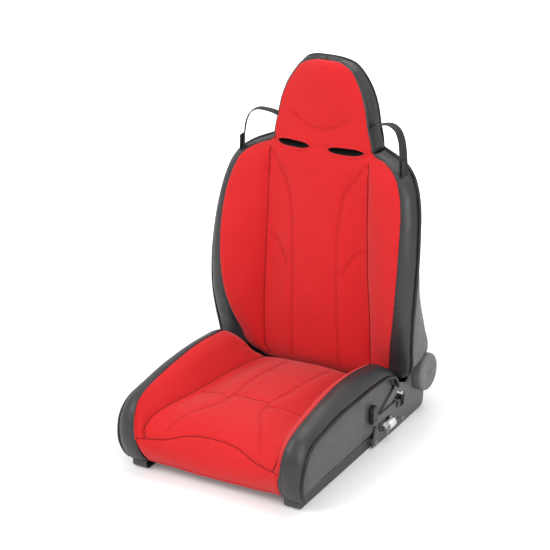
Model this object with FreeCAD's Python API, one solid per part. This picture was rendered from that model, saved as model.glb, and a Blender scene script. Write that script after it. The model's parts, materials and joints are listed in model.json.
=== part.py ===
"""Reclining bucket seat: padded base and backrest on a steel frame with a toothed recliner.

Millimetres. X points to the sitter's left, Y to the rear and Z up. The origin is on the floor
plane, below the middle of the seat.
"""
import FreeCAD, Part
import math
import os

from FreeCAD import Vector

# Steel base frame, whose rails and tubes keep their place beside the cushion's core
CORE_HALF_WIDTH = 224.0
RAIL_OUTER_X = CORE_HALF_WIDTH + 14.0
RAIL_HEIGHT = 30.0
RAIL_FLANGE = 40.0
RAIL_WALL = 3.0
RAIL_FRONT_Y = -326.0
RAIL_REAR_Y = 290.0
MOUNT_HOLE_RADIUS = 4.25
MOUNT_SPACING_Y = 330.0
MOUNT_CENTRE_Y = -30.0
MOUNT_INSET = 20.0
FRAME_TUBE_RADIUS = 10.0
FRAME_TUBE_X = CORE_HALF_WIDTH - 16.0
FRAME_FRONT_Y = -236.0
FRAME_REAR_Y = 236.0
STRAP_WIDTH = 44.0
STRAP_THICKNESS = 2.5
BASE_STRAP_COUNT = 6

# Seat cushion: heights are counted from the datum, which is the centre of the front nose
DATUM_Y = -262.0
DATUM_Z = 85.0
CORE_LIFT = 0.6
PAD_FLOOR = 14.0
CUSHION_REAR_Y = 182.0
BOLSTER_REAR_Y = 106.0
CREST_HEIGHT = 76.0
REAR_DROP = 43.0
VALLEY_DEPTH = 9.0
VALLEY_X = 150.0
BOLSTER_HEIGHT = 146.0
BOLSTER_TOP_X = CORE_HALF_WIDTH - 8.0
SIDE_PIPING_X = CORE_HALF_WIDTH + 39.0
SIDE_PIPING_HEIGHT = 104.0
SIDE_PANEL_X = CORE_HALF_WIDTH + 20.0
SIDE_SWELL = 13.0
SIDE_PANEL_BOTTOM_Z = 38.0
SEAM_GAP = 0.8
BAND_LIP = 3.0
STRAIGHT_ANGLE = 0.01
PIPING_RADIUS = 4.0

# Hinge line and recliner
PIVOT_Y = 303.0
PIVOT_Z = 105.0
PIVOT_RADIUS = 8.0
RUNNING_CLEARANCE = 0.05
PLATE_INNER_X = CORE_HALF_WIDTH + 22.0
PLATE_THICKNESS = 4.0
SECTOR_THICKNESS = 4.0
SECTOR_SIDE_GAP = 2.0
SECTOR_RADIUS = 95.0
TOOTH_DEPTH = 4.0
TOOTH_PITCH_DEG = 4.0
MESH_CLEARANCE = 0.45
PLATE_CROWN_RADIUS = 46.0
CAP_RADIUS = 50.0
CAP_DEPTH = 24.0
CAP_WALL = 2.5
SHAFT_Y = 161.0
SHAFT_Z = 71.0
SHAFT_RADIUS = 6.0
PAWL_TOOTH_COUNT = 3
PAWL_ANGLE_DEG = 215.0
RECLINE_BACK_DEG = 55.0
RECLINE_FORWARD_DEG = 4.0
LEVER_THICKNESS = 4.0
GRIP_THICKNESS = 12.0
COIL_RADIUS = 11.0
COIL_WIRE_RADIUS = 1.5
COIL_TURNS = 7
COIL_PITCH = 4.4
COIL_Y = 84.0
COIL_Z = 46.0
COIL_FRONT_LEG = 2.4
COIL_REAR_LEG = 9.0
COIL_BEND = 5.0
POST_RADIUS = 3.5
SPIRAL_TURNS = 3
SPIRAL_INNER_RADIUS = 14.0
SPIRAL_STEP = 8.0
SPIRAL_STRIP = 2.5
SPIRAL_WIDTH = 9.0

# Backrest
BACK_BOTTOM_Z = 114.0
SHELL_BOTTOM_Z = 172.0
SLOT_Z = 708.0
PAD_DEPTH = 42.0
CENTRE_CROWN = 9.0
SHELL_WALL = 4.0
SHELL_TUCK = 7.0
SHELL_CLEARANCE = 1.5
HEAD_TOP_Z = 941.0
HEAD_PAD_DEPTH = 24.0
BACK_TUBE_RADIUS = 11.0
BACK_TUBE_X = CORE_HALF_WIDTH - 28.0
BACK_TUBE_Y = 270.0
BACK_TUBE_BOTTOM_Z = 200.0
BACK_TUBE_TOP_Z = SLOT_Z - 88.0
HOOP_X = 13.0
HOOP_RADIUS = 7.0
HOOP_TOP_Z = HEAD_TOP_Z - 71.0
SLOT_HALF_HEIGHT = 9.0
SLOT_INNER_X = 24.0
SLOT_OUTER_X = 126.0
SLEEVE_WALL = 2.5
HANDLE_WIDTH = 25.0
HANDLE_THICKNESS = 2.5
HANDLE_Y = 226.0
PATCH_THICKNESS = 2.0
PATCH_HEIGHT = 24.0
BACK_STRAP_COUNT = 5
BACK_STRAP_STEP = 78.0


def vec(x, y, z):
    """Return the point x, y, z."""
    return Vector(x, y, z)


def mirrored(shape):
    """Return the shape's copy on the other side of the seat."""
    return shape.mirror(vec(0, 0, 0), vec(1, 0, 0))


def closed_wire(corners):
    """Join (point, bulge) pairs into a closed wire; a bulge is an arc's middle point or None."""
    edges = []
    for index, (start, bulge) in enumerate(corners):
        end = corners[(index + 1) % len(corners)][0]
        if bulge is None:
            edges.append(Part.LineSegment(start, end).toShape())
        else:
            edges.append(Part.Arc(start, bulge, end).toShape())
    return Part.Wire(edges)


def loft(wires):
    """Return the smooth solid through the sections, cubic so that it doesn't ripple."""
    return Part.makeLoft(wires, True, False, False, 3)


def bulged(start, end, out):
    """Return the middle of start and end, moved by the vector out."""
    return (start + end) * 0.5 + out


def rounded_path(points):
    """Return a wire of straight runs joined by tangent arcs as large as their runs allow."""
    edges = []
    last = points[0]
    for index in range(1, len(points) - 1):
        corner = points[index]
        back = (points[index - 1] - corner)
        ahead = (points[index + 1] - corner)
        turn = math.pi - back.getAngle(ahead)
        if turn < STRAIGHT_ANGLE:
            continue
        reach = 0.45 * min(back.Length, ahead.Length)
        back.normalize()
        ahead.normalize()
        start = corner + back * reach
        end = corner + ahead * reach
        radius = reach / math.tan(turn / 2)
        inward = (back + ahead).normalize()
        centre_distance = radius / math.cos(turn / 2)
        middle = corner + inward * (centre_distance - radius)
        edges.append(Part.LineSegment(last, start).toShape())
        edges.append(Part.Arc(start, middle, end).toShape())
        last = end
    edges.append(Part.LineSegment(last, points[-1]).toShape())
    return Part.Wire(edges)


def tube(points, radius):
    """Return a round bar along the rounded path through the points."""
    path = rounded_path(points)
    first = points[1] - points[0]
    circle = Part.Wire(Part.makeCircle(radius, points[0], first))
    return path.makePipeShell([circle], True, False)


def rod(start, end, radius):
    """Return a straight round bar."""
    return Part.makeCylinder(radius, (end - start).Length, start, end - start)


def plate(outline, thickness, x):
    """Return the plate whose (y, z) outline starts at x and grows to the +X side."""
    corners = []
    for y, z, *bulge in outline:
        middle = vec(x, *bulge[0]) if bulge else None
        corners.append((vec(x, y, z), middle))
    return Part.Face(closed_wire(corners)).extrude(vec(thickness, 0, 0))


def polar(radius, degrees):
    """Return (y, z) of the point at an angle round the hinge line, from the rear upwards."""
    angle = math.radians(degrees)
    return PIVOT_Y + radius * math.cos(angle), PIVOT_Z + radius * math.sin(angle)


# Steel base frame

def base_rail():
    """Return the +X C-channel with a rounded nose and two mounting holes."""
    top = RAIL_HEIGHT
    nose = RAIL_HEIGHT / 2
    outline = [(RAIL_FRONT_Y + nose, 0.0), (RAIL_REAR_Y, 0.0), (RAIL_REAR_Y, top),
               (RAIL_FRONT_Y + nose, top, (RAIL_FRONT_Y, nose))]
    body = plate(outline, RAIL_FLANGE, RAIL_OUTER_X - RAIL_FLANGE)
    inner = [(RAIL_FRONT_Y + nose, RAIL_WALL), (RAIL_REAR_Y + 1, RAIL_WALL),
             (RAIL_REAR_Y + 1, top - RAIL_WALL),
             (RAIL_FRONT_Y + nose, top - RAIL_WALL, (RAIL_FRONT_Y + RAIL_WALL, nose))]
    body = body.cut(plate(inner, RAIL_FLANGE, RAIL_OUTER_X - RAIL_FLANGE - RAIL_WALL))
    for y in mount_rows():
        x = RAIL_OUTER_X - MOUNT_INSET
        body = body.cut(rod(vec(x, y, -1), vec(x, y, RAIL_WALL + 1), MOUNT_HOLE_RADIUS))
    return body


def mount_rows():
    """Return the y of the front and rear mounting holes."""
    half = MOUNT_SPACING_Y / 2
    return (MOUNT_CENTRE_Y - half, MOUNT_CENTRE_Y + half)


def cross_tube(y):
    """Return a tube between the two cushion tubes, coped to them."""
    height = cushion_tube_z()
    bar = rod(vec(-FRAME_TUBE_X, y, height), vec(FRAME_TUBE_X, y, height), FRAME_TUBE_RADIUS)
    side = rod(vec(FRAME_TUBE_X, y - 40, height), vec(FRAME_TUBE_X, y + 40, height), FRAME_TUBE_RADIUS)
    return bar.cut(side).cut(mirrored(side))


def cushion_tube_z():
    """Return the height of the cushion tubes, which rest on the rails."""
    return RAIL_HEIGHT + FRAME_TUBE_RADIUS


def core_bottom_z():
    """Return the height of the foam's underside, just above the straps."""
    return cushion_tube_z() + FRAME_TUBE_RADIUS + STRAP_THICKNESS + CORE_LIFT


def cushion_tube():
    """Return the +X tube under the cushion's side."""
    height = cushion_tube_z()
    front = FRAME_FRONT_Y - 2 * FRAME_TUBE_RADIUS
    rear = FRAME_REAR_Y + 2 * FRAME_TUBE_RADIUS
    return rod(vec(FRAME_TUBE_X, front, height), vec(FRAME_TUBE_X, rear, height), FRAME_TUBE_RADIUS)


def base_straps():
    """Return the elastic straps that carry the foam, from tube to tube."""
    step = (SHAFT_Y - 40 - FRAME_FRONT_Y - 50) / (BASE_STRAP_COUNT - 1)
    base = cushion_tube_z() + FRAME_TUBE_RADIUS
    straps = []
    for index in range(BASE_STRAP_COUNT):
        y = FRAME_FRONT_Y + 28 + index * step
        corner = vec(-FRAME_TUBE_X, y - STRAP_WIDTH / 2, base)
        straps.append(Part.makeBox(2 * FRAME_TUBE_X, STRAP_WIDTH, STRAP_THICKNESS, corner))
    return Part.makeCompound(straps)


# Seat cushion

def station(y, degrees):
    """Return a function that places (x, height) on a section; degrees turn it round the nose."""
    angle = math.radians(degrees)

    def place(x, height):
        return vec(x, y - height * math.sin(angle), DATUM_Z + height * math.cos(angle))
    return place


def valley_shift(y):
    """Return how far the valley seam moves out towards the front."""
    return 6.0 * (CUSHION_REAR_Y - y) / (CUSHION_REAR_Y - DATUM_Y)


TOP_STATIONS = ((CUSHION_REAR_Y, 0, -REAR_DROP), (90, 0, -22), (-10, 0, -8), (-110, 0, 0), (-200, 0, 1),
                (DATUM_Y, 4, -6), (DATUM_Y, 26, -10), (DATUM_Y, 47, -6))


def centre_section(y, degrees, rise):
    """Return one section of the centre pad, crowned between its valley seams."""
    place = station(y, degrees)
    crown = CREST_HEIGHT + rise
    seam_x = VALLEY_X + valley_shift(y)
    edge = crown - min(VALLEY_DEPTH, (crown - PAD_FLOOR) / 2)
    return closed_wire([(place(-seam_x, edge), place(0, crown)), (place(seam_x, edge), None),
                        (place(seam_x, PAD_FLOOR), None), (place(-seam_x, PAD_FLOOR), None)])


def cushion_centre():
    """Return the red centre pad."""
    return loft([centre_section(*row) for row in TOP_STATIONS])


SIDE_STATIONS = (
    # y, degrees round the nose, edge height, edge x, piping height, each as a change
    (BOLSTER_REAR_Y + 46, 0, -74, -3, -52), (BOLSTER_REAR_Y + 28, 0, -38, 0, -21),
    (BOLSTER_REAR_Y, 0, -14, 2, -8), (30, 0, -1, 0, 0), (-70, 0, 1, -2, 0), (-160, 0, -6, -1, 0),
    (-235, 0, -17, 1, -9), (DATUM_Y, 10, -24, 1, -13), (DATUM_Y, 30, -25, -1, -14),
    (DATUM_Y, 50, -32, -6, -16), (DATUM_Y, 72, -44, -12, -19))


def bolster_edge(row):
    """Return (x, height) of the bolster's red to black edge at a side station."""
    return BOLSTER_TOP_X + row[3], BOLSTER_HEIGHT + row[2]


def piping_point(row):
    """Return (x, height) of the side piping at a side station."""
    return SIDE_PIPING_X - max(0.0, (row[1] - 60) * 0.15), SIDE_PIPING_HEIGHT + row[4]


def bolster_section(row, side_gap):
    """Return one section of the +X red bolster."""
    place = station(row[0], row[1])
    edge_x, edge = bolster_edge(row)
    seam_x = VALLEY_X + valley_shift(row[0]) + side_gap
    foot = valley_height(row)
    top = place(edge_x, edge)
    seam = place(seam_x, foot)
    bow = station(row[0], row[1])((seam_x + edge_x) / 2 - 7, (foot + edge) / 2 + 9)
    return closed_wire([(seam, bow), (top, None), (place(edge_x, PAD_FLOOR), None),
                        (place(seam_x, PAD_FLOOR), None)])


def valley_height(row):
    """Return the height of the valley seam beside a side station."""
    rises = [(top_y - 3 * turn, rise) for top_y, turn, rise in TOP_STATIONS]
    here = row[0] - 3 * row[1]
    for (y_a, rise_a), (y_b, rise_b) in zip(rises, rises[1:]):
        if y_b <= here:
            share = (y_a - here) / (y_a - y_b)
            return CREST_HEIGHT + rise_a + share * (rise_b - rise_a) - VALLEY_DEPTH
    return CREST_HEIGHT + rises[-1][1] - VALLEY_DEPTH


def cushion_bolster():
    """Return the +X red bolster, which ends at the wavy front seam."""
    rows = [row for row in SIDE_STATIONS if row[1] <= 50]
    return loft([bolster_section(row, SEAM_GAP) for row in rows])


FRONT_TURNS = ((53, -36, -14), (78, -46, -2), (104, -56, 6), (132, -60, 14))


def front_section(degrees, edge_drop, swell):
    """Return one section of the red front panel."""
    place = station(DATUM_Y, degrees)
    edge = BOLSTER_HEIGHT + edge_drop
    middle = CREST_HEIGHT + swell
    edge_x = BOLSTER_TOP_X - 9.5 - (degrees - 53) * 0.18
    shoulder_x = edge_x * 0.62
    shoulder = middle + (edge - middle) * 0.25
    side = ((edge_x + shoulder_x) / 2, (edge + shoulder) / 2)
    return closed_wire([(place(-edge_x, edge), place(-side[0], side[1] - 3)),
                        (place(-shoulder_x, shoulder), place(0, middle)),
                        (place(shoulder_x, shoulder), place(side[0], side[1] - 3)),
                        (place(edge_x, edge), None), (place(edge_x, PAD_FLOOR), None),
                        (place(-edge_x, PAD_FLOOR), None)])


def cushion_front():
    """Return the red front panel that wraps the nose down to the hem."""
    return loft([front_section(*row) for row in FRONT_TURNS])


BAND_LAST = ((DATUM_Y, 96, -50, -17, -20), (DATUM_Y, 118, -56, -20, -21))


def band_section(row, gap, drop):
    """Return one section of the +X black band; drop lowers its underside."""
    place = station(row[0], row[1])
    edge_x, edge = bolster_edge(row)
    pipe_x, pipe = piping_point(row)
    edge_x = edge_x + gap
    top = place(edge_x, edge)
    side = place(pipe_x, pipe)
    bow = place((edge_x + pipe_x) / 2 + 8, (edge + pipe) / 2 + 9)
    inner_x = CORE_HALF_WIDTH
    return closed_wire([(top, bow), (side, None), (place(pipe_x, pipe - drop), None),
                        (place(inner_x, pipe - drop), None), (place(inner_x, PAD_FLOOR), None),
                        (place(edge_x, PAD_FLOOR), None)])


def cushion_band():
    """Return the +X black band from the bolster's edge to the side piping."""
    return loft([band_section(row, SEAM_GAP, BAND_LIP) for row in SIDE_STATIONS + BAND_LAST])


def trim_section(row):
    """Return one section of the space that the side panel must leave to the band."""
    place = station(row[0], row[1])
    low = piping_point(row)[1] - BAND_LIP - 5 * SEAM_GAP
    return closed_wire([(place(CORE_HALF_WIDTH - 10, low), None), (place(SIDE_PIPING_X + 30, low), None),
                        (place(SIDE_PIPING_X + 30, low + 120), None),
                        (place(CORE_HALF_WIDTH - 10, low + 120), None)])


def swell_wire(share, x):
    """Return the side panel's padded outline at x, drawn in to a share of its size."""
    middle = vec(0, -160, 108)
    outline = [(-308, 60), (-20, 60, (-4, 66)), (2, 90), (2, 140, (-8, 162)), (-40, 170),
               (-240, 156, (-288, 138)), (-308, 96)]
    corners = []
    for y, z, *bulge in outline:
        spot = middle + (vec(0, y, z) - middle) * share + vec(x, 0, 0)
        bow = middle + (vec(0, *bulge[0]) - middle) * share + vec(x, 0, 0) if bulge else None
        corners.append((spot, bow))
    return closed_wire(corners)


def side_panel():
    """Return the +X side panel between the piping, the rail and the recliner plate."""
    outline = [(-344, SIDE_PANEL_BOTTOM_Z), (95, SIDE_PANEL_BOTTOM_Z), (140, 130), (150, 215), (-344, 215)]
    x = CORE_HALF_WIDTH + SEAM_GAP
    block = plate(outline, SIDE_PANEL_X - x, x)
    layers = [swell_wire(share, SIDE_PANEL_X + lift * SIDE_SWELL)
              for share, lift in ((1.0, 0.0), (0.97, 0.55), (0.86, 1.0))]
    block = block.fuse(loft(layers))
    return block.cut(loft([trim_section(row) for row in SIDE_STATIONS + BAND_LAST]))


def cushion_core():
    """Return the foam block under the pads, notched for the cross shaft."""
    length = CUSHION_REAR_Y - DATUM_Y
    bottom = core_bottom_z()
    height = DATUM_Z + PAD_FLOOR - SEAM_GAP - bottom
    corner = vec(-CORE_HALF_WIDTH, DATUM_Y + SEAM_GAP, bottom)
    block = Part.makeBox(2 * CORE_HALF_WIDTH, length - SEAM_GAP, height, corner)
    wide = 2 * CORE_HALF_WIDTH + 2
    notch_y = SHAFT_Y - SHAFT_RADIUS - 12
    notch_height = SHAFT_Z + SHAFT_RADIUS + 6 - bottom
    notch = Part.makeBox(wide, 100, notch_height + 1, vec(-wide / 2, notch_y, bottom - 1))
    return block.cut(notch)


def cushion_piping():
    """Return the +X piping cord along the band's lower edge."""
    points = []
    for row in SIDE_STATIONS + BAND_LAST:
        pipe_x, pipe = piping_point(row)
        points.append(station(row[0], row[1])(pipe_x + PIPING_RADIUS + 0.6, pipe - 1))
    return tube(points, PIPING_RADIUS)


# Recliner

def recliner_plate():
    """Return the +X base plate with its strut, window and holes."""
    crown = PLATE_CROWN_RADIUS
    slant = crown * math.sqrt(0.5)
    outline = [(30, 4), (150, 0), (296, 2, (310, 5)), (317, 18), (323, 60),
               (PIVOT_Y + crown, PIVOT_Z, (PIVOT_Y + slant, PIVOT_Z + slant)), (PIVOT_Y, PIVOT_Z + crown),
               (276, 143), (246, 125), (220, 107), (171, 128), (58, 74)]
    body = plate(outline, PLATE_THICKNESS, PLATE_INNER_X)
    window = [(126, 56), (206, 50), (210, 84), (172, 104), (140, 86)]
    body = body.cut(plate(window, PLATE_THICKNESS + 2, PLATE_INNER_X - 1))
    notch = [(72, 30), (128, 34), (122, 62), (76, 68)]
    body = body.cut(plate(notch, PLATE_THICKNESS + 2, PLATE_INNER_X - 1))
    for y, z, radius in ((PIVOT_Y, PIVOT_Z, PIVOT_RADIUS), (262, 90, 3.5), (174, 26, 4.5)):
        body = body.cut(rod(vec(PLATE_INNER_X - 1, y, z), vec(PLATE_INNER_X + 9, y, z), radius))
    return body


def x_rod(x_start, x_end, y, z, radius):
    """Return a round bar along X."""
    return rod(vec(x_start, y, z), vec(x_end, y, z), radius)


PLATE_BOLT_SPOTS = ((48, 14), (112, 14), (196, 13))
ARM_BOLT_SPOTS = ((270, 232), (270, 308))
BRACKET_X = CORE_HALF_WIDTH + 8.0
BRACKET_THICKNESS = 4.0


def plate_spacers():
    """Return the +X spacers between the rail's web and the base plate."""
    spacers = []
    for y, z in PLATE_BOLT_SPOTS:
        ring = x_rod(RAIL_OUTER_X, PLATE_INNER_X, y, z, 7.0)
        spacers.append(ring.cut(x_rod(RAIL_OUTER_X, PLATE_INNER_X, y, z, 4.0)))
    return spacers


def plate_bolts():
    """Return the +X flat heads that hold the base plate."""
    outer = PLATE_INNER_X + PLATE_THICKNESS
    return [x_rod(outer, outer + 2.0, y, z, 6.5) for y, z in PLATE_BOLT_SPOTS]


def shaft_bracket():
    """Return the +X bracket that carries the cross shaft above the rail."""
    half = 20.0
    top = SHAFT_Z + 14.0
    outline = [(SHAFT_Y - half, RAIL_HEIGHT), (SHAFT_Y + half, RAIL_HEIGHT),
               (SHAFT_Y + 13, SHAFT_Z, (SHAFT_Y, top)), (SHAFT_Y - 13, SHAFT_Z)]
    body = plate(outline, BRACKET_THICKNESS, BRACKET_X)
    hole = x_rod(BRACKET_X - 1, BRACKET_X + BRACKET_THICKNESS + 1, SHAFT_Y, SHAFT_Z,
                 SHAFT_RADIUS + RUNNING_CLEARANCE)
    return body.cut(hole)


def sector_inner_x():
    """Return the inner face of the sector and the pawl."""
    return PLATE_INNER_X - SECTOR_SIDE_GAP - SECTOR_THICKNESS


def toothed_arc(first, last, root, tip):
    """Return (y, z) points of teeth between two angles, from root to tip radius."""
    count = int(round((last - first) / TOOTH_PITCH_DEG))
    points = [polar(root, first)]
    for index in range(count):
        angle = first + index * TOOTH_PITCH_DEG
        points.append(polar(tip, angle + 0.36 * TOOTH_PITCH_DEG))
        points.append(polar(tip, angle + 0.64 * TOOTH_PITCH_DEG))
        points.append(polar(root, angle + TOOTH_PITCH_DEG))
    return points


def recliner_arm():
    """Return the +X backrest arm with the toothed sector round the hinge line."""
    x = sector_inner_x()
    first = PAWL_ANGLE_DEG - 2 * TOOTH_PITCH_DEG - RECLINE_FORWARD_DEG
    last = PAWL_ANGLE_DEG + 2 * TOOTH_PITCH_DEG + RECLINE_BACK_DEG
    teeth = toothed_arc(first, last, SECTOR_RADIUS - TOOTH_DEPTH, SECTOR_RADIUS)
    sector = plate(teeth + [polar(24, last - 20), polar(24, first + 20)], SECTOR_THICKNESS, x)
    hub = x_rod(x, x + SECTOR_THICKNESS, PIVOT_Y, PIVOT_Z, 34.0)
    top = ARM_BOLT_SPOTS[-1][1]
    arm = plate([(PIVOT_Y - 33, PIVOT_Z + 8), (PIVOT_Y + 33, PIVOT_Z + 8), (288, 210),
                 (286, top, (270, top + 16)), (254, top), (254, 210)], SECTOR_THICKNESS, x)
    body = sector.fuse(hub).fuse(arm).removeSplitter()
    hole = x_rod(x - 1, x + SECTOR_THICKNESS + 1, PIVOT_Y, PIVOT_Z, PIVOT_RADIUS + RUNNING_CLEARANCE)
    body = body.cut(hole)
    for slot_radius, degrees in ((58, 232), (58, 250), (58, 214)):
        y, z = polar(slot_radius, degrees)
        body = body.cut(x_rod(x - 1, x + SECTOR_THICKNESS + 1, y, z, 7.0))
    return body


def arm_bolts():
    """Return the +X bolts from each arm to the backrest tube, with their spacers."""
    x = sector_inner_x()
    bolts = []
    for y, z in ARM_BOLT_SPOTS:
        spacer = x_rod(BACK_TUBE_X + BACK_TUBE_RADIUS - 2, x, y, z, 8.0)
        tube_bar = rod(vec(BACK_TUBE_X, y, z - 30), vec(BACK_TUBE_X, y, z + 30), BACK_TUBE_RADIUS)
        bolts.append(spacer.cut(tube_bar))
        bolts.append(x_rod(x + SECTOR_THICKNESS, x + SECTOR_THICKNESS + 3, y, z, 8.0))
    return bolts


def pivot_bolt():
    """Return the +X shouldered hinge bolt, with its nut inside and its head under the cap."""
    x = sector_inner_x()
    outer = PLATE_INNER_X + PLATE_THICKNESS
    shaft = x_rod(x - 0.4, outer + 1, PIVOT_Y, PIVOT_Z, PIVOT_RADIUS)
    nut = x_rod(x - 9, x - 0.4, PIVOT_Y, PIVOT_Z, 13.0)
    washer = x_rod(x + SECTOR_THICKNESS + 0.3, PLATE_INNER_X, PIVOT_Y, PIVOT_Z, 13.0)
    head = x_rod(outer, outer + 7, PIVOT_Y, PIVOT_Z, SPIRAL_INNER_RADIUS - 1.5)
    return shaft.fuse([nut, washer, head]).removeSplitter()


def spiral_spring():
    """Return the +X flat spiral return spring, wound in half turns round the pivot bolt."""
    x = PLATE_INNER_X + PLATE_THICKNESS + 3.0
    half_step = SPIRAL_STEP / 2
    outward = []
    inward = []
    for index in range(2 * SPIRAL_TURNS):
        radius = SPIRAL_INNER_RADIUS + index * half_step
        centre = PIVOT_Y + (half_step if index % 2 else 0.0)
        side = -1.0 if index % 2 else 1.0
        outer = radius + SPIRAL_STRIP
        outward.append((centre + side * outer, PIVOT_Z, (centre, PIVOT_Z + side * outer)))
        inward.append((centre - side * radius, PIVOT_Z, (centre, PIVOT_Z + side * radius)))
    last_index = 2 * SPIRAL_TURNS - 1
    side = -1.0 if last_index % 2 else 1.0
    centre = PIVOT_Y + (half_step if last_index % 2 else 0.0)
    radius = SPIRAL_INNER_RADIUS + last_index * half_step
    outline = outward + [(centre - side * (radius + SPIRAL_STRIP), PIVOT_Z)] + inward[::-1]
    outline.append((PIVOT_Y + SPIRAL_INNER_RADIUS, PIVOT_Z))
    return plate(outline, SPIRAL_WIDTH, x)


def recliner_cap():
    """Return the +X round dished cap over the hinge."""
    start = PLATE_INNER_X + PLATE_THICKNESS + 0.3
    dish = x_rod(start, start + CAP_DEPTH, PIVOT_Y, PIVOT_Z, CAP_RADIUS)
    rim = [edge for edge in dish.Edges if abs(edge.CenterOfMass.x - start - CAP_DEPTH) < 0.01]
    dish = dish.makeFillet(5.0, rim[:1])
    return dish.cut(x_rod(start - 1, start + CAP_DEPTH - CAP_WALL, PIVOT_Y, PIVOT_Z, CAP_RADIUS - CAP_WALL))


def pawl():
    """Return the +X pawl on the cross shaft, its teeth just clear of the sector."""
    x = sector_inner_x()
    span = PAWL_TOOTH_COUNT * TOOTH_PITCH_DEG / 2
    near = SECTOR_RADIUS + MESH_CLEARANCE
    teeth = toothed_arc(PAWL_ANGLE_DEG - span, PAWL_ANGLE_DEG + span, near + TOOTH_DEPTH, near)
    block = teeth + [polar(near + 17, PAWL_ANGLE_DEG + span), (SHAFT_Y + 3, SHAFT_Z - 12),
                     (SHAFT_Y + 3, SHAFT_Z + 12), polar(near + 8, PAWL_ANGLE_DEG - span - 2)]
    body = plate(block, SECTOR_THICKNESS, x)
    body = body.fuse(x_rod(x, x + SECTOR_THICKNESS, SHAFT_Y, SHAFT_Z, 13.0)).removeSplitter()
    return body.cut(x_rod(x - 1, x + SECTOR_THICKNESS + 1, SHAFT_Y, SHAFT_Z, SHAFT_RADIUS))


def cross_shaft():
    """Return the shaft that turns both pawls, with a collar at each end."""
    lever_outer = lever_inner_x() + LEVER_THICKNESS
    pawl_outer = sector_inner_x() + SECTOR_THICKNESS
    bar = x_rod(-pawl_outer, lever_outer, SHAFT_Y, SHAFT_Z, SHAFT_RADIUS)
    left_head = x_rod(-pawl_outer - 1.5, -pawl_outer, SHAFT_Y, SHAFT_Z, 9.0)
    right_head = x_rod(lever_outer, lever_outer + 4, SHAFT_Y, SHAFT_Z, 8.5)
    return bar.fuse([left_head, right_head]).removeSplitter()


def lever_inner_x():
    """Return the inner face of the release lever, just outside the base plate."""
    return PLATE_INNER_X + PLATE_THICKNESS + 1.0


def release_lever():
    """Return the flat release lever with its spring tab."""
    x = lever_inner_x()
    outline = [(SHAFT_Y, SHAFT_Z - 12, (SHAFT_Y + 12, SHAFT_Z)), (SHAFT_Y, SHAFT_Z + 12), (60, 84),
               (36, 112, (29, 119)), (22, 112), (22, 74), (40, 64), (COIL_Y - 16, 63),
               (COIL_Y - 16, COIL_Z - 12), (COIL_Y - 8, COIL_Z - 12), (COIL_Y - 8, 63)]
    body = plate(outline, LEVER_THICKNESS, x)
    hole = x_rod(x - 1, x + LEVER_THICKNESS + 1, SHAFT_Y, SHAFT_Z, SHAFT_RADIUS)
    tab = Part.makeBox(12, 3, 14, vec(x, COIL_Y - 11, COIL_Z - 12))
    return body.cut(hole).fuse(tab).removeSplitter()


def lever_grip():
    """Return the moulded grip round the lever's raised end."""
    x = lever_inner_x() - 0.6
    outline = [(16, 80), (42, 80), (42, 112, (29, 127)), (16, 112)]
    body = plate(outline, GRIP_THICKNESS, x)
    flat = [edge for edge in body.Edges if abs(edge.CenterOfMass.x - x - GRIP_THICKNESS) < 0.01]
    return body.makeFillet(3.0, flat).cut(release_lever())


def coil_centre_x():
    """Return the coil spring's axis, just clear of the base plate."""
    return PLATE_INNER_X + PLATE_THICKNESS + COIL_RADIUS + COIL_WIRE_RADIUS + 1.2


def coil_point(turn):
    """Return the wire's centre and direction after a number of turns."""
    angle = 2 * math.pi * turn
    point = vec(coil_centre_x() - COIL_RADIUS * math.cos(angle), COIL_Y + COIL_PITCH * turn,
                COIL_Z + COIL_RADIUS * math.sin(angle))
    ahead = vec(COIL_RADIUS * math.sin(angle), COIL_PITCH / (2 * math.pi), COIL_RADIUS * math.cos(angle))
    return point, ahead.normalize()


def biarc(start, start_way, end, end_way):
    """Return two tangent arcs from start to end with the given directions."""
    span = end - start
    ways = start_way + end_way
    square = 2 * (1 - start_way.dot(end_way))
    along = span.dot(ways)
    reach = (-along + math.sqrt(along * along + square * span.dot(span))) / square
    joint = (start + start_way * reach + end - end_way * reach) * 0.5
    return [tangent_arc(start, start_way, joint), tangent_arc(end, end_way * -1, joint)]


def tangent_arc(start, way, end):
    """Return the arc that leaves start along way and passes through end."""
    chord = end - start
    side = way.cross(chord).cross(way).normalize()
    radius = chord.dot(chord) / (2 * chord.dot(side))
    centre = start + side * radius
    middle = centre + ((start + end) * 0.5 - centre).normalize() * radius
    return Part.Arc(start, middle, end).toShape()


def coil_spring():
    """Return the bright spring between the lever's tab and the post, with its two legs."""
    bend = COIL_BEND
    cos_bend = bend * math.sqrt(0.5)
    first = coil_point(0)[0]
    last = coil_point(COIL_TURNS)[0]
    up = vec(0, 0, 1)
    leg = first + vec(0, -bend, -bend)
    edges = [Part.LineSegment(leg - vec(0, COIL_FRONT_LEG, 0), leg).toShape()]
    middle = first + vec(0, -bend + cos_bend, -cos_bend)
    edges.append(Part.Arc(leg, middle, first).toShape())
    steps = 4 * COIL_TURNS
    for index in range(steps):
        start, start_way = coil_point(index / 4)
        end, end_way = coil_point((index + 1) / 4)
        start_way = up if index == 0 else start_way
        end_way = up if index == steps - 1 else end_way
        arcs = biarc(start, start_way, end, end_way)
        edges.extend(arcs)
    far = last + vec(0, bend, bend)
    edges.append(Part.Arc(last, last + vec(0, bend - cos_bend, cos_bend), far).toShape())
    edges.append(Part.LineSegment(far, far + vec(0, COIL_REAR_LEG, 0)).toShape())
    path = Part.Wire(Part.__sortEdges__(edges))
    circle = Part.Wire(Part.makeCircle(COIL_WIRE_RADIUS, leg - vec(0, COIL_FRONT_LEG, 0), vec(0, 1, 0)))
    return path.makePipeShell([circle], True, False)


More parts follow.
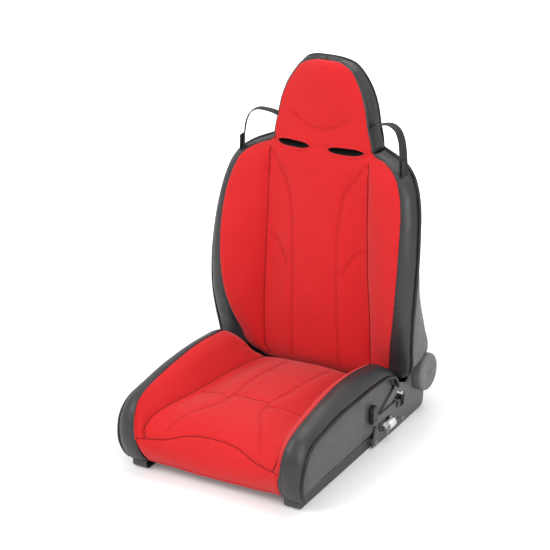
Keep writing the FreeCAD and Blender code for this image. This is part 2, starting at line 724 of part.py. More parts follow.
def spring_post():
    """Return the post on the base plate that holds the spring's rear leg."""
    outer = PLATE_INNER_X + PLATE_THICKNESS
    y = COIL_Y + COIL_TURNS * COIL_PITCH + 9.5
    z = COIL_Z + 5 - COIL_WIRE_RADIUS - POST_RADIUS - 0.1
    return x_rod(outer, outer + 12, y, z, POST_RADIUS).fuse(x_rod(outer + 12, outer + 14, y, z, POST_RADIUS + 2))


# Backrest

BACK_SHARES = (
    # share of the height from the shell's foot to the slots, seam x, seam y, edge x, edge y,
    # piping x, piping y, corner x, corner y, rear y
    (0.0, 158, 192, 220, 179, 283, 177, 258, 332, 364),
    (0.099, 158, 192, 232, 158, 288, 169, 258, 313, 346),
    (0.22, 156, 193, 246, 143, 293, 164, 262, 286, 327),
    (0.369, 151, 195, 255, 139, 296, 171, 267, 258, 311),
    (0.519, 148, 199, 258, 147, 295, 187, 264, 257, 305),
    (0.662, 145, 205, 256, 163, 289, 207, 256, 268, 306),
    (0.78, 144, 210, 249, 183, 279, 228, 246, 280, 310),
    (0.854, 143, 214, 238, 197, 266, 243, 234, 286, 313),
    (0.91, 142, 217, 223, 209, 246, 260, 214, 292, 316),
    (0.948, 141, 220, 200, 224, 216, 279, 186, 302, 319),
    (0.97, 141, 223, 170, 236, 186, 288, 148, 310, 321))

BACK_ROWS = tuple((SHELL_BOTTOM_Z + row[0] * (SLOT_Z - SHELL_BOTTOM_Z),) + row[1:] for row in BACK_SHARES)

HEAD_SHARES = (
    # share of the height from the slots to the top, edge x, edge y, front y, side x, side y, rear x, rear y
    (0.0, 141, 237, 223, 150, 288, 112, 322),
    (0.094, 139, 239, 230, 148, 290, 108, 324),
    (0.288, 129, 243, 235, 138, 294, 100, 325),
    (0.481, 120, 248, 238, 128, 297, 90, 324),
    (0.661, 104, 256, 240, 112, 299, 76, 320),
    (0.815, 79, 266, 243, 86, 300, 54, 313),
    (0.918, 50, 270, 249, 55, 297, 32, 306))

HEAD_ROWS = tuple((SLOT_Z + row[0] * (HEAD_TOP_Z - SLOT_Z),) + row[1:] for row in HEAD_SHARES)


def back_foot_row(z):
    """Return the lowest section, moved to another height below it."""
    row = BACK_ROWS[0]
    drop = row[0] - z
    return (z, row[1], row[2], row[3] - 0.16 * drop, row[4] + 0.22 * drop) + row[5:]


def back_centre_section(row):
    """Return one section of the red centre pad of the backrest."""
    z, x, y = row[0], row[1], row[2]
    rear = y + PAD_DEPTH
    return closed_wire([(vec(-x, y, z), vec(0, y - CENTRE_CROWN, z)), (vec(x, y, z), None),
                        (vec(x, rear, z), None), (vec(-x, rear, z), None)])


def back_centre():
    """Return the red centre pad, with room for the harness slot sleeves."""
    rows = [back_foot_row(BACK_BOTTOM_Z)] + list(BACK_ROWS[:-1])
    rows.append((SLOT_Z - SEAM_GAP / 2,) + BACK_ROWS[-1][1:])
    body = loft([back_centre_section(row) for row in rows])
    return cut_slots(body)


def cut_slots(body):
    """Cut the room of both harness slot sleeves out of a body."""
    room = slot_prism(SLEEVE_WALL + SEAM_GAP / 2, 150, 400)
    return body.cut(room).cut(mirrored(room))


def slot_prism(grow, y_start, y_end):
    """Return the +X lens-shaped slot, grown by an amount, between two y values."""
    middle = (SLOT_INNER_X + SLOT_OUTER_X) / 2
    half = SLOT_HALF_HEIGHT + grow
    left = vec(SLOT_INNER_X - grow, y_start, SLOT_Z)
    right = vec(SLOT_OUTER_X + grow, y_start, SLOT_Z)
    wire = closed_wire([(left, vec(middle, y_start, SLOT_Z + half)), (right, vec(middle, y_start, SLOT_Z - half))])
    return Part.Face(wire).extrude(vec(0, y_end - y_start, 0))


def slot_sleeve():
    """Return the +X harness slot sleeve from the padded front to the shell."""
    sleeve = slot_prism(SLEEVE_WALL, 214, 324).cut(slot_prism(0, 150, 400))
    rim = slot_prism(SLEEVE_WALL + 2, 210, 214).cut(slot_prism(0, 150, 400))
    return sleeve.fuse(rim).removeSplitter()


def back_bolster_section(row):
    """Return one section of the +X red bolster of the backrest."""
    z, seam_x, seam_y, edge_x, edge_y = row[:5]
    seam = vec(seam_x + SEAM_GAP, seam_y, z)
    edge = vec(edge_x, edge_y, z)
    bow = bulged(seam, edge, vec(-6, -7, 0))
    rear = max(seam_y, edge_y) + PAD_DEPTH
    return closed_wire([(seam, bow), (edge, None), (vec(edge_x, rear, z), None),
                        (vec(seam_x + SEAM_GAP, rear, z), None)])


def back_bolster():
    """Return the +X red bolster of the backrest."""
    rows = [back_foot_row(BACK_BOTTOM_Z + 26)] + list(BACK_ROWS)
    return loft([back_bolster_section(row) for row in rows])


def band_rear(row):
    """Return the inner rear corner of the side band."""
    z, seam_x, seam_y, edge_x, edge_y, pipe_x, pipe_y = row[:7]
    rear = max(max(seam_y, edge_y) + PAD_DEPTH, pipe_y + 4)
    return vec(edge_x + 3 * SEAM_GAP, rear, z)


def back_band_section(row):
    """Return one section of the +X black side band of the backrest."""
    z, edge_x, edge_y, pipe_x, pipe_y = row[0], *row[3:7]
    edge = vec(edge_x + 3 * SEAM_GAP, edge_y, z)
    pipe = vec(pipe_x, pipe_y, z)
    return closed_wire([(edge, bulged(edge, pipe, vec(9, -7, 0))), (pipe, None), (band_rear(row), None)])


def back_band():
    """Return the +X black side band of the backrest."""
    return loft([back_band_section(row) for row in BACK_ROWS])


def shell_outline(row, inset):
    """Return the half outline of the back shell as (point, bulge) pairs, inset by an amount."""
    z, pipe_x, pipe_y, corner_x, corner_y, rear = row[0], *row[5:10]
    pipe = vec(pipe_x, pipe_y, z)
    along = (band_rear(row) - pipe).normalize()
    start = pipe + along * (SHELL_TUCK + inset) + vec(along.y, -along.x, 0) * SHELL_CLEARANCE
    corner = vec(corner_x - inset, corner_y - inset * 0.4, z)
    back = vec(corner_x * 0.72, rear - 6 - inset, z)
    middle = vec(0, rear - inset, z)
    return [(start, bulged(start, corner, vec(5, 3, 0))), (corner, bulged(corner, back, vec(7, 7, 0))),
            (back, None), (middle, None)]


def shell_section(row):
    """Return one closed C-shaped section of the back shell."""
    right = shell_outline(row, 0.0)
    inner = shell_outline(row, SHELL_WALL)
    flip = FreeCAD.Matrix()
    flip.scale(-1, 1, 1)
    corners = [(right[0][0], right[0][1]), (right[1][0], right[1][1])]
    corners.append((right[2][0], right[3][0]))
    corners.append((flip * right[2][0], flip * right[1][1]))
    corners.append((flip * right[1][0], flip * right[0][1]))
    corners.append((flip * right[0][0], None))
    corners.append((flip * inner[0][0], flip * inner[0][1]))
    corners.append((flip * inner[1][0], flip * inner[1][1]))
    corners.append((flip * inner[2][0], inner[3][0]))
    corners.append((inner[2][0], inner[1][1]))
    corners.append((inner[1][0], inner[0][1]))
    corners.append((inner[0][0], None))
    return closed_wire(corners)


def back_shell():
    """Return the black rear shell, which flares to the rear at its foot."""
    top = (SLOT_Z - SEAM_GAP, 141, 223, 148, 240, 160, 292, 126, 315, 323)
    return cut_slots(loft([shell_section(row) for row in BACK_ROWS + (top,)]))


def head_pad_section(row):
    """Return one section of the red headrest pad."""
    z, x, y, front = row[:4]
    rear = y + HEAD_PAD_DEPTH
    return closed_wire([(vec(-x, y, z), vec(0, front, z)), (vec(x, y, z), None),
                        (vec(x, rear, z), None), (vec(-x, rear, z), None)])


def headrest_pad():
    """Return the red headrest pad above the slots."""
    foot = (SLOT_Z + SEAM_GAP / 2,) + HEAD_ROWS[0][1:]
    top = (HEAD_TOP_Z - 6, 24, 271, 258)
    return cut_slots(loft([head_pad_section(row) for row in (foot,) + HEAD_ROWS[1:] + (top,)]))


def head_cover_section(row):
    """Return one section of the black headrest cover behind the red pad."""
    z, x, y, front, side_x, side_y, rear_x, rear_y = row
    inner = y + HEAD_PAD_DEPTH + SEAM_GAP
    points = [(vec(-x - SEAM_GAP, y, z), None), (vec(-x - SEAM_GAP, inner, z), None),
              (vec(x + SEAM_GAP, inner, z), None), (vec(x + SEAM_GAP, y, z), vec(side_x + 1, (y + side_y) / 2, z)),
              (vec(side_x, side_y, z), vec((side_x + rear_x) / 2 + 6, (side_y + rear_y) / 2 + 6, z)),
              (vec(rear_x, rear_y, z), None),
              (vec(-rear_x, rear_y, z), vec(-(side_x + rear_x) / 2 - 6, (side_y + rear_y) / 2 + 6, z)),
              (vec(-side_x, side_y, z), vec(-side_x - 1, (y + side_y) / 2, z))]
    return closed_wire(points)


def headrest_cover():
    """Return the black cover behind the headrest pad, bored for the steel hoop."""
    top = (HEAD_TOP_Z, 22, 271, 258, 28, 292, 20, 306)
    foot = (SLOT_Z + SEAM_GAP / 2,) + HEAD_ROWS[0][1:]
    body = loft([head_cover_section(row) for row in (foot,) + HEAD_ROWS[1:] + (top,)])
    return cut_slots(body).cut(tube(hoop_points(), HOOP_RADIUS + SEAM_GAP))


def hoop_points():
    """Return the corners of the headrest hoop."""
    y = BACK_TUBE_Y + 24
    knee = BACK_TUBE_TOP_Z + BACK_TUBE_RADIUS + 40 + 2 * HOOP_RADIUS
    left_foot = vec(-HOOP_X, BACK_TUBE_Y, BACK_TUBE_TOP_Z)
    right_foot = vec(HOOP_X, BACK_TUBE_Y, BACK_TUBE_TOP_Z)
    return [left_foot, vec(-HOOP_X, y, knee), vec(-HOOP_X, y, HOOP_TOP_Z), vec(HOOP_X, y, HOOP_TOP_Z),
            vec(HOOP_X, y, knee), right_foot]


def headrest_hoop():
    """Return the steel hoop that stiffens the headrest, coped to the upper cross tube."""
    return tube(hoop_points(), HOOP_RADIUS).cut(back_cross_tube(BACK_TUBE_TOP_Z))


def back_side_tube():
    """Return the +X upright of the backrest frame."""
    return rod(vec(BACK_TUBE_X, BACK_TUBE_Y, BACK_TUBE_BOTTOM_Z),
               vec(BACK_TUBE_X, BACK_TUBE_Y, BACK_TUBE_TOP_Z + BACK_TUBE_RADIUS), BACK_TUBE_RADIUS)


def back_cross_tube(z):
    """Return a cross tube between the uprights, coped to them."""
    bar = rod(vec(-BACK_TUBE_X, BACK_TUBE_Y, z), vec(BACK_TUBE_X, BACK_TUBE_Y, z), BACK_TUBE_RADIUS)
    side = back_side_tube()
    return bar.cut(side).cut(mirrored(side))


def back_straps():
    """Return the elastic straps behind the backrest pads, round the front of the uprights."""
    straps = []
    y = BACK_TUBE_Y - BACK_TUBE_RADIUS - STRAP_THICKNESS
    for index in range(BACK_STRAP_COUNT):
        z = BACK_TUBE_BOTTOM_Z + 60 + index * BACK_STRAP_STEP
        corner = vec(-BACK_TUBE_X, y, z - STRAP_WIDTH / 2)
        straps.append(Part.makeBox(2 * BACK_TUBE_X, STRAP_THICKNESS, STRAP_WIDTH, corner))
    return Part.makeCompound(straps)


def back_piping():
    """Return the +X piping cord between the side band and the shell."""
    points = []
    for row in BACK_ROWS:
        points.append(vec(row[5] + PIPING_RADIUS + 0.4, row[6] + PIPING_RADIUS, row[0]))
    return tube(points, PIPING_RADIUS)


def handle_outline(grow):
    """Return the corners of the grab handle's middle line, grown outwards by an amount."""
    return [vec(143 - 2 * grow, 0, SLOT_Z + 68 + grow), vec(190 + 0.4 * grow, 0, SLOT_Z + 84 + grow),
            vec(216 + grow, 0, SLOT_Z + 68 + 0.7 * grow), vec(229 + grow, 0, SLOT_Z + 27),
            vec(232 + grow, 0, SLOT_Z - 46)]


def grab_handle():
    """Return the +X webbing loop from the headrest's side down to the shoulder."""
    outer = rounded_path(handle_outline(HANDLE_THICKNESS / 2))
    inner = rounded_path(handle_outline(-HANDLE_THICKNESS / 2))
    ends = []
    for index in (0, -1):
        start = outer.OrderedVertexes[index].Point
        end = inner.OrderedVertexes[index].Point
        ends.append(Part.LineSegment(start, end).toShape())
    face = Part.Face(Part.Wire(Part.__sortEdges__(outer.Edges + inner.Edges + ends)))
    face.translate(vec(0, HANDLE_Y, 0))
    body = face.extrude(vec(0, HANDLE_WIDTH, 0))
    return largest(body.cut(back_band()).cut(back_bolster()).cut(headrest_cover()))


def largest(shape):
    """Return the biggest solid of a shape, which leaves cut-off ends away."""
    return max(shape.Solids, key=lambda solid: solid.Volume)


def handle_patch():
    """Return the +X sewn patch that holds the handle's lower end."""
    strap = grab_handle()
    foot = min(vertex.Z for vertex in strap.Vertexes)
    corner = vec(232 + HANDLE_THICKNESS / 2 + 0.1, HANDLE_Y - 1.5, foot + 2)
    patch = Part.makeBox(PATCH_THICKNESS, HANDLE_WIDTH + 3, PATCH_HEIGHT, corner)
    return largest(patch.cut(back_band()).cut(back_bolster()))


# Export

def both(name, shape):
    """Return the left and right nodes of a +X shape; left is the sitter's."""
    return {name + "_left": shape, name + "_right": mirrored(shape)}


def pairs(pieces):
    """Return one group of +X pieces and their copies on the other side."""
    return Part.makeCompound(pieces + [mirrored(piece) for piece in pieces])


def base_nodes():
    """Return the nodes of the steel base."""
    nodes = both("base_rail", base_rail())
    nodes.update(both("cushion_tube", cushion_tube()))
    nodes["base_front_tube"] = cross_tube(FRAME_FRONT_Y)
    nodes["base_rear_tube"] = cross_tube(FRAME_REAR_Y)
    nodes["base_straps"] = base_straps()
    return nodes


def cushion_nodes():
    """Return the nodes of the seat cushion."""
    nodes = {"cushion_foam_core": cushion_core(), "cushion_centre_pad": cushion_centre(),
             "cushion_front_panel": cushion_front()}
    nodes.update(both("cushion_bolster", cushion_bolster()))
    nodes.update(both("cushion_side_band", cushion_band()))
    nodes.update(both("cushion_side_panel", side_panel()))
    nodes.update(both("cushion_piping", cushion_piping()))
    return nodes


def recliner_nodes():
    """Return the nodes of the recliner, the cross shaft and the lever."""
    nodes = both("recliner_plate", recliner_plate())
    nodes["plate_fasteners"] = pairs(plate_spacers() + plate_bolts())
    nodes["shaft_brackets"] = pairs([shaft_bracket()])
    nodes.update(both("pivot_bolt", pivot_bolt()))
    nodes.update(both("spiral_spring", spiral_spring()))
    nodes.update(both("hinge_cap", recliner_cap()))
    nodes.update(both("recliner_arm", recliner_arm()))
    nodes.update(both("pawl", pawl()))
    nodes["cross_shaft"] = cross_shaft()
    nodes["release_lever"] = release_lever()
    nodes["lever_grip"] = lever_grip()
    nodes["coil_spring"] = coil_spring()
    nodes["spring_post"] = spring_post()
    return nodes


def backrest_nodes():
    """Return the nodes of the backrest."""
    nodes = {"arm_bolts": pairs(arm_bolts()),
             "back_lower_tube": back_cross_tube(BACK_TUBE_BOTTOM_Z + BACK_TUBE_RADIUS),
             "back_upper_tube": back_cross_tube(BACK_TUBE_TOP_Z),
             "headrest_hoop": headrest_hoop(), "back_straps": back_straps(),
             "back_centre_pad": back_centre(), "back_shell": back_shell(),
             "headrest_pad": headrest_pad(), "headrest_cover": headrest_cover()}
    nodes.update(both("back_side_tube", back_side_tube()))
    nodes.update(both("back_bolster", back_bolster()))
    nodes.update(both("back_side_band", back_band()))
    nodes.update(both("back_piping", back_piping()))
    nodes.update(both("harness_slot", slot_sleeve()))
    nodes.update(both("grab_handle", grab_handle()))
    nodes["handle_patches"] = pairs([handle_patch()])
    return nodes


def main():
    """Build every node and write its STEP file."""
    os.makedirs("parts", exist_ok=True)
    groups = (base_nodes, cushion_nodes, recliner_nodes, backrest_nodes)
    for group in groups:
        for name, shape in group().items():
            shape.exportStep("parts/" + name + ".step")
            solids = len(shape.Solids)
            valid = "valid" if shape.isValid() else "INVALID"
            print(f"{name}: {solids} solids, {shape.Volume / 1000:.1f} cm3, {valid}")
    print(f"least gap between spring turns: {COIL_PITCH - 2 * COIL_WIRE_RADIUS:.2f} mm")


main()
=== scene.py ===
"""Looks of a reclining bucket seat, dressed over its packed steel and foam frame.

Lengths are millimetres in the seat's own frame until a mesh is made, and metres from there on.
"""

import json
import logging
import math
from dataclasses import dataclass
from enum import Enum
from typing import Any, ClassVar, Sequence

import bpy
import numpy as np
from mathutils import Matrix, Vector
from mathutils.bvhtree import BVHTree

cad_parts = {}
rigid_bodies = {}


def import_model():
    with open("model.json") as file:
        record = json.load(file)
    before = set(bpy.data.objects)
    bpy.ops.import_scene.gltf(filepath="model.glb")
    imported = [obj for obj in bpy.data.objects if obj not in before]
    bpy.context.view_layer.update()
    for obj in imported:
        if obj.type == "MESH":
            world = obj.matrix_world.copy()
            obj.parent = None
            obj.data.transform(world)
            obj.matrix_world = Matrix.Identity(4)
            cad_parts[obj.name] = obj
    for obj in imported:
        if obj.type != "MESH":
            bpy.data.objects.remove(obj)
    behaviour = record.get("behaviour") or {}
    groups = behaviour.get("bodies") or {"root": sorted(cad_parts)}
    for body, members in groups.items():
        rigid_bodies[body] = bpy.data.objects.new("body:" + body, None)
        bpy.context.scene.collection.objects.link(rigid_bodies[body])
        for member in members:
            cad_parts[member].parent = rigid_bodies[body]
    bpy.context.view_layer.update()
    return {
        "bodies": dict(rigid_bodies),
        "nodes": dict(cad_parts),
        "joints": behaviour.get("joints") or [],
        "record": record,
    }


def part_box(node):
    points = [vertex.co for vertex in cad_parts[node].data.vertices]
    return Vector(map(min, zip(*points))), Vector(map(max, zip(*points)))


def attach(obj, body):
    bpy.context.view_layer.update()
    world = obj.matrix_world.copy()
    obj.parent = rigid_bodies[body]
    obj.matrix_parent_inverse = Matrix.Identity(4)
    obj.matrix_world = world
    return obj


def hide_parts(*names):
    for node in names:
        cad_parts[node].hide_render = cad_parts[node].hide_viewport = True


LOG = logging.getLogger("seat")
MM = 0.001
TINY = 1e-9
# A full turn, as the ribs and the waves count it
TURN = 6.28
Grid = np.ndarray


class Side(Enum):
    """A side of the seat, as the sitter names it."""
    LEFT = 1
    RIGHT = -1

    @property
    def word(self) -> str:
        """Return the side as the names of pieces say it."""
        return self.name.lower()

    @property
    def flip(self) -> np.ndarray:
        """Return the factors that carry the left side's points to this side."""
        return np.array([self.value, 1.0, 1.0])


class Slot(Enum):
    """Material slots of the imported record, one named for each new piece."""
    RED = "red_fabric"
    VINYL = "black_vinyl"
    PIPING = "black_piping"
    FOAM = "foam"
    WEBBING = "black_webbing"
    LINING = "slot_lining"
    PLASTIC = "grey_plastic"


class Body(Enum):
    """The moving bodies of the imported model."""
    BASE = "seat_base"
    BACK = "backrest"


class Sewn(Enum):
    """What shows in a seam: nothing, a crease with a dark cord of painted shade in it, or one or two rows of
    thread.
    """
    BARE = 0
    CREASE = 1
    SINGLE = 2
    DOUBLE = 3


# Shader graphs


class Value:
    """A node socket that adds Math nodes when it is used in an expression."""

    def __init__(self, graph: "Graph", socket: Any) -> None:
        """Wrap one output socket of a graph."""
        self.graph = graph
        self.socket = socket

    def maths(self, operation: str, first: Any, second: Any) -> "Value":
        """Return first and second joined by a Math node."""
        return self.graph.node("ShaderNodeMath", {"operation": operation}, {0: first, 1: second})

    def __add__(self, other: Any) -> "Value":
        """Return self + other."""
        return self.maths("ADD", self, other)

    def __rsub__(self, other: Any) -> "Value":
        """Return other - self."""
        return self.maths("SUBTRACT", other, self)

    def __mul__(self, other: Any) -> "Value":
        """Return self * other."""
        return self.maths("MULTIPLY", self, other)

    __radd__ = __add__
    __rmul__ = __mul__

    def between(self, low: float, high: float) -> "Value":
        """Return 0 below low, 1 above high and a straight line between."""
        names = {"From Min": low, "From Max": high, "Value": self}
        return self.graph.node("ShaderNodeMapRange", {"clamp": True}, names)


class Graph:
    """The nodes of one material."""

    def __init__(self, name: str) -> None:
        """Start a material of that name with a bare Principled shader."""
        self.material = bpy.data.materials.new(name)
        self.material.use_nodes = True
        self.tree = self.material.node_tree
        self.tree.nodes.clear()
        output = self.tree.nodes.new("ShaderNodeOutputMaterial")
        self.shader = self.tree.nodes.new("ShaderNodeBsdfPrincipled")
        self.tree.links.new(self.shader.outputs[0], output.inputs[0])

    def feed(self, socket: Any, value: Any) -> None:
        """Set a socket to a value, or link a Value to it."""
        if isinstance(value, Value):
            self.tree.links.new(value.socket, socket)
        else:
            socket.default_value = value

    def node(self, kind: str, settings: dict | None = None, inputs: dict | None = None,
             output: Any = 0) -> Value:
        """Add a node.

        Args:
            kind: the node's type.
            settings: its own settings, set first.
            inputs: socket name or number to value or link.
            output: the output socket to return.

        Returns:
            The chosen output as a Value.
        """
        made = self.tree.nodes.new(kind)
        for key, value in (settings or {}).items():
            setattr(made, key, value)
        for key, value in (inputs or {}).items():
            self.feed(made.inputs[key], value)
        return Value(self, made.outputs[output])

    def place(self) -> Value:
        """Return the object coordinates."""
        return self.node("ShaderNodeTexCoord", output="Object")

    def noise(self, scale: float, detail: float = 2.0) -> Value:
        """Return noise of that many cells per metre."""
        return self.node("ShaderNodeTexNoise", None,
                         {"Vector": self.place(), "Scale": scale, "Detail": detail})

    def cells(self, scale: float, randomness: float) -> Value:
        """Return the distance to the nearest cell centre."""
        return self.node("ShaderNodeTexVoronoi", {"feature": "F1"},
                         {"Vector": self.place(), "Scale": scale, "Randomness": randomness})

    def blended(self, factor: Any, first: Sequence[float], second: Sequence[float]) -> Value:
        """Return a colour between two, by a factor."""
        return self.node("ShaderNodeMix", {"data_type": "RGBA"},
                         {0: factor, 6: (*first, 1.0), 7: (*second, 1.0)}, 2)

    def away(self, near: float, far: float) -> Value:
        """Return 0 within a distance of the middle, 1 beyond a greater one."""
        length = self.node("ShaderNodeVectorMath", {"operation": "LENGTH"}, {0: self.place()}, "Value")
        return length.between(near, far)

    def bump(self, height: Value, depth: float, strength: float) -> None:
        """Raise the surface by height times depth, in metres."""
        made = self.node("ShaderNodeBump", None, {"Height": height, "Distance": depth,
                                                  "Strength": strength})
        self.feed(self.shader.inputs["Normal"], made)

    def surface(self, **inputs: Any) -> bpy.types.Material:
        """Set the shader's sockets, given with _ for each space, and return the material."""
        for key, value in inputs.items():
            self.feed(self.shader.inputs[key.replace("_", " ")], value)
        return self.material


@dataclass(frozen=True)
class KnitFinish:
    """Knitted cover cloth: small loops in staggered rows, painted shade in the gaps between them, and a soft
    sheen.
    """
    name: str
    colour: tuple[float, float, float]
    shade: tuple[float, float, float]
    loop: float = 1.5
    sheen: float = 0.13

    def make(self) -> bpy.types.Material:
        """Return the material."""
        graph = Graph(self.name)
        loops = graph.cells(1000 / self.loop, 0.35)
        fade = graph.noise(9.0, 3.0) * 0.5 + graph.noise(140.0, 2.0) * 0.5
        # random patches of tone, plus painted shade that darkens the gaps between the loops
        tone_and_hollow_shade = fade.between(0.3, 0.7) * 0.55 + (1 - loops) * 0.45
        graph.bump(loops * -1.0 + graph.noise(600.0) * 0.5, 0.0005, 0.55)
        rough = graph.noise(200.0) * 0.1 + 0.8
        return graph.surface(Base_Color=graph.blended(tone_and_hollow_shade, self.shade, self.colour), Roughness=rough,
                             Sheen_Weight=self.sheen, Sheen_Roughness=0.5, Specular_IOR_Level=0.2)


@dataclass(frozen=True)
class VinylFinish:
    """Grained vinyl: fine cells, a satin shine and slightly polished high spots."""
    name: str
    colour: tuple[float, float, float]
    worn: tuple[float, float, float]
    rough: float = 0.42
    grain: float = 1.3

    def make(self) -> bpy.types.Material:
        """Return the material."""
        graph = Graph(self.name)
        pebbles = graph.cells(1000 / self.grain, 0.9)
        creases = graph.noise(55.0, 4.0)
        wear = graph.noise(7.0, 3.0).between(0.45, 0.75)
        graph.bump(pebbles * 0.6 + creases * 0.8, 0.0006, 0.3)
        rough = creases.between(0.3, 0.8) * 0.12 + wear * 0.07 + self.rough
        return graph.surface(Base_Color=graph.blended(wear, self.colour, self.worn), Roughness=rough,
                             Specular_IOR_Level=0.5)


@dataclass(frozen=True)
class WebbingFinish:
    """Woven webbing: ribs across the strap over a fine weave, the crests painted lighter as highlight and
    the troughs darker as shade.
    """
    name: str
    colour: tuple[float, float, float]
    rib: float = 1.6

    def make(self) -> bpy.types.Material:
        """Return the material."""
        graph = Graph(self.name)
        ribs = graph.node("ShaderNodeTexWave", {"wave_type": "BANDS", "bands_direction": "DIAGONAL"},
                          {"Vector": graph.place(), "Scale": 1000 / self.rib / TURN, "Distortion": 0.4},
                          "Fac")
        light = tuple(3.0 * part for part in self.colour)
        graph.bump(ribs, 0.0004, 0.6)
        # painted highlight on the rib crests and shade in the troughs, plus random tone
        tone_and_hollow_shade = ribs * 0.35 + graph.noise(300.0) * 0.3
        return graph.surface(Base_Color=graph.blended(tone_and_hollow_shade, self.colour, light), Roughness=0.72,
                             Sheen_Weight=0.1)


@dataclass(frozen=True)
class CoatedFinish:
    """Powder coat or moulded plastic: a fine orange peel with faint scuffs."""
    name: str
    colour: tuple[float, float, float]
    rough: float
    peel: float = 1.1
    metallic: float = 0.0

    def make(self) -> bpy.types.Material:
        """Return the material."""
        graph = Graph(self.name)
        peel = graph.noise(1000 / self.peel, 2.0)
        scuff = graph.noise(38.0, 6.0).between(0.56, 0.72)
        light = tuple(min(1.0, 1.7 * part + 0.01) for part in self.colour)
        graph.bump(peel, 0.0002, 0.35)
        return graph.surface(Base_Color=graph.blended(scuff * 0.5, self.colour, light),
                             Roughness=scuff * 0.14 + self.rough, Metallic=self.metallic)


@dataclass(frozen=True)
class MetalFinish:
    """Bare or plated steel: fine drawing marks and cloudy tarnish."""
    name: str
    colour: tuple[float, float, float]
    tarnish: tuple[float, float, float]
    rough: float

    def make(self) -> bpy.types.Material:
        """Return the material."""
        graph = Graph(self.name)
        stretched = graph.node("ShaderNodeMapping", None,
                               {"Vector": graph.place(), "Scale": (2200.0, 90.0, 2200.0)})
        marks = graph.node("ShaderNodeTexNoise", None, {"Vector": stretched, "Scale": 1.0})
        cloud = graph.noise(45.0, 4.0).between(0.42, 0.7)
        graph.bump(marks, 0.00008, 0.3)
        return graph.surface(Base_Color=graph.blended(cloud, self.colour, self.tarnish), Metallic=1.0,
                             Roughness=cloud * 0.15 + marks * 0.08 + self.rough)


class Finishes:
    """All finishes of the seat, each made once when it is first asked for."""

    recipes: dict[str, Any] = {
        "red": KnitFinish("seat_red_knit", (0.63, 0.017, 0.019), (0.53, 0.010, 0.012)),
        # real red thread, painted darker than the cloth so that it also carries the shade along the seams
        "thread": KnitFinish("red_thread_painted_shade", (0.44, 0.010, 0.011), (0.36, 0.007, 0.008), 0.5),
        # dark red for the cords of painted shade in the creased seams
        "crease": KnitFinish("red_crease_painted_shade", (0.30, 0.006, 0.007), (0.24, 0.004, 0.005), 0.5),
        "vinyl": VinylFinish("black_grain_vinyl", (0.026, 0.026, 0.028), (0.038, 0.038, 0.040), 0.34),
        # the black vinyl painted lighter on the side panels, as painted light from above
        "panel": VinylFinish("side_panel_vinyl", (0.066, 0.066, 0.069), (0.084, 0.084, 0.088), 0.42),
        # the black vinyl painted lighter again on the rear shell, as its painted highlight
        "shell": VinylFinish("back_shell_vinyl", (0.080, 0.081, 0.085), (0.100, 0.100, 0.105), 0.42),
        "cord": VinylFinish("piping_vinyl", (0.006, 0.006, 0.006), (0.012, 0.012, 0.012), 0.4, 0.8),
        "black_thread": KnitFinish("black_thread", (0.03, 0.03, 0.03), (0.012, 0.012, 0.012), 0.5),
        "cloth": KnitFinish("black_under_cloth", (0.010, 0.010, 0.010), (0.005, 0.005, 0.005), 1.1, 0.02),
        "webbing": WebbingFinish("black_webbing", (0.008, 0.008, 0.008)),
        "paint": CoatedFinish("frame_powder_coat", (0.045, 0.045, 0.048), 0.42),
        "plate": CoatedFinish("plate_powder_coat", (0.085, 0.084, 0.088), 0.4),
        "cap": CoatedFinish("cap_plastic", (0.13, 0.13, 0.135), 0.46, 0.9),
        "plastic": CoatedFinish("lever_plastic", (0.02, 0.02, 0.021), 0.4, 0.7),
        "zinc": MetalFinish("bright_zinc", (0.97, 0.97, 0.97), (0.9, 0.9, 0.9), 0.28),
        "steel": MetalFinish("dull_zinc", (0.46, 0.46, 0.47), (0.3, 0.3, 0.31), 0.36),
        "oiled": MetalFinish("oiled_steel", (0.13, 0.13, 0.135), (0.07, 0.07, 0.072), 0.42),
        "blued": MetalFinish("blued_spring_steel", (0.16, 0.17, 0.2), (0.09, 0.09, 0.11), 0.34),
    }

    def __init__(self) -> None:
        """Start with no material made."""
        self.made: dict[str, bpy.types.Material] = {}

    def get(self, key: str) -> bpy.types.Material:
        """Return the material of that key."""
        if key not in self.made:
            self.made[key] = self.recipes[key].make()
        return self.made[key]


# Surfaces on grids


def unit(vectors: Grid) -> Grid:
    """Return vectors divided by their own lengths."""
    return vectors / np.maximum(np.linalg.norm(vectors, axis=-1, keepdims=True), TINY)


def spline(points: Grid, knots: np.ndarray, at: np.ndarray) -> Grid:
    """Return the smooth curve through points at given knots.

    Between two points it is the cubic whose end slopes are those of the parabola through each
    point and its two neighbours.

    Args:
        points: values along the first axis.
        knots: rising positions of the points.
        at: positions to evaluate.

    Returns:
        The values at those positions, along the first axis.
    """
    shape = (-1,) + (1,) * (points.ndim - 1)
    step = np.diff(knots).reshape(shape)
    slope = np.diff(points, axis=0) / step
    inner = (slope[:-1] * step[1:] + slope[1:] * step[:-1]) / (step[:-1] + step[1:])
    ways = np.concatenate([slope[:1], inner, slope[-1:]])
    low = np.clip(np.searchsorted(knots, at, side="right") - 1, 0, len(knots) - 2)
    gap = np.diff(knots)[low].reshape(shape)
    t = (at - knots[low]).reshape(shape) / gap
    t2, t3 = t * t, t * t * t
    return ((2 * t3 - 3 * t2 + 1) * points[low] + (t3 - 2 * t2 + t) * gap * ways[low]
            + (3 * t2 - 2 * t3) * points[low + 1] + (t3 - t2) * gap * ways[low + 1])


def chords(points: Grid) -> np.ndarray:
    """Return knots along the first axis, spaced by the mean distance between its slices."""
    gaps = np.linalg.norm(np.diff(points, axis=0), axis=-1)
    gaps = gaps.reshape(len(gaps), -1).mean(axis=1)
    return np.concatenate([[0.0], np.cumsum(gaps)])


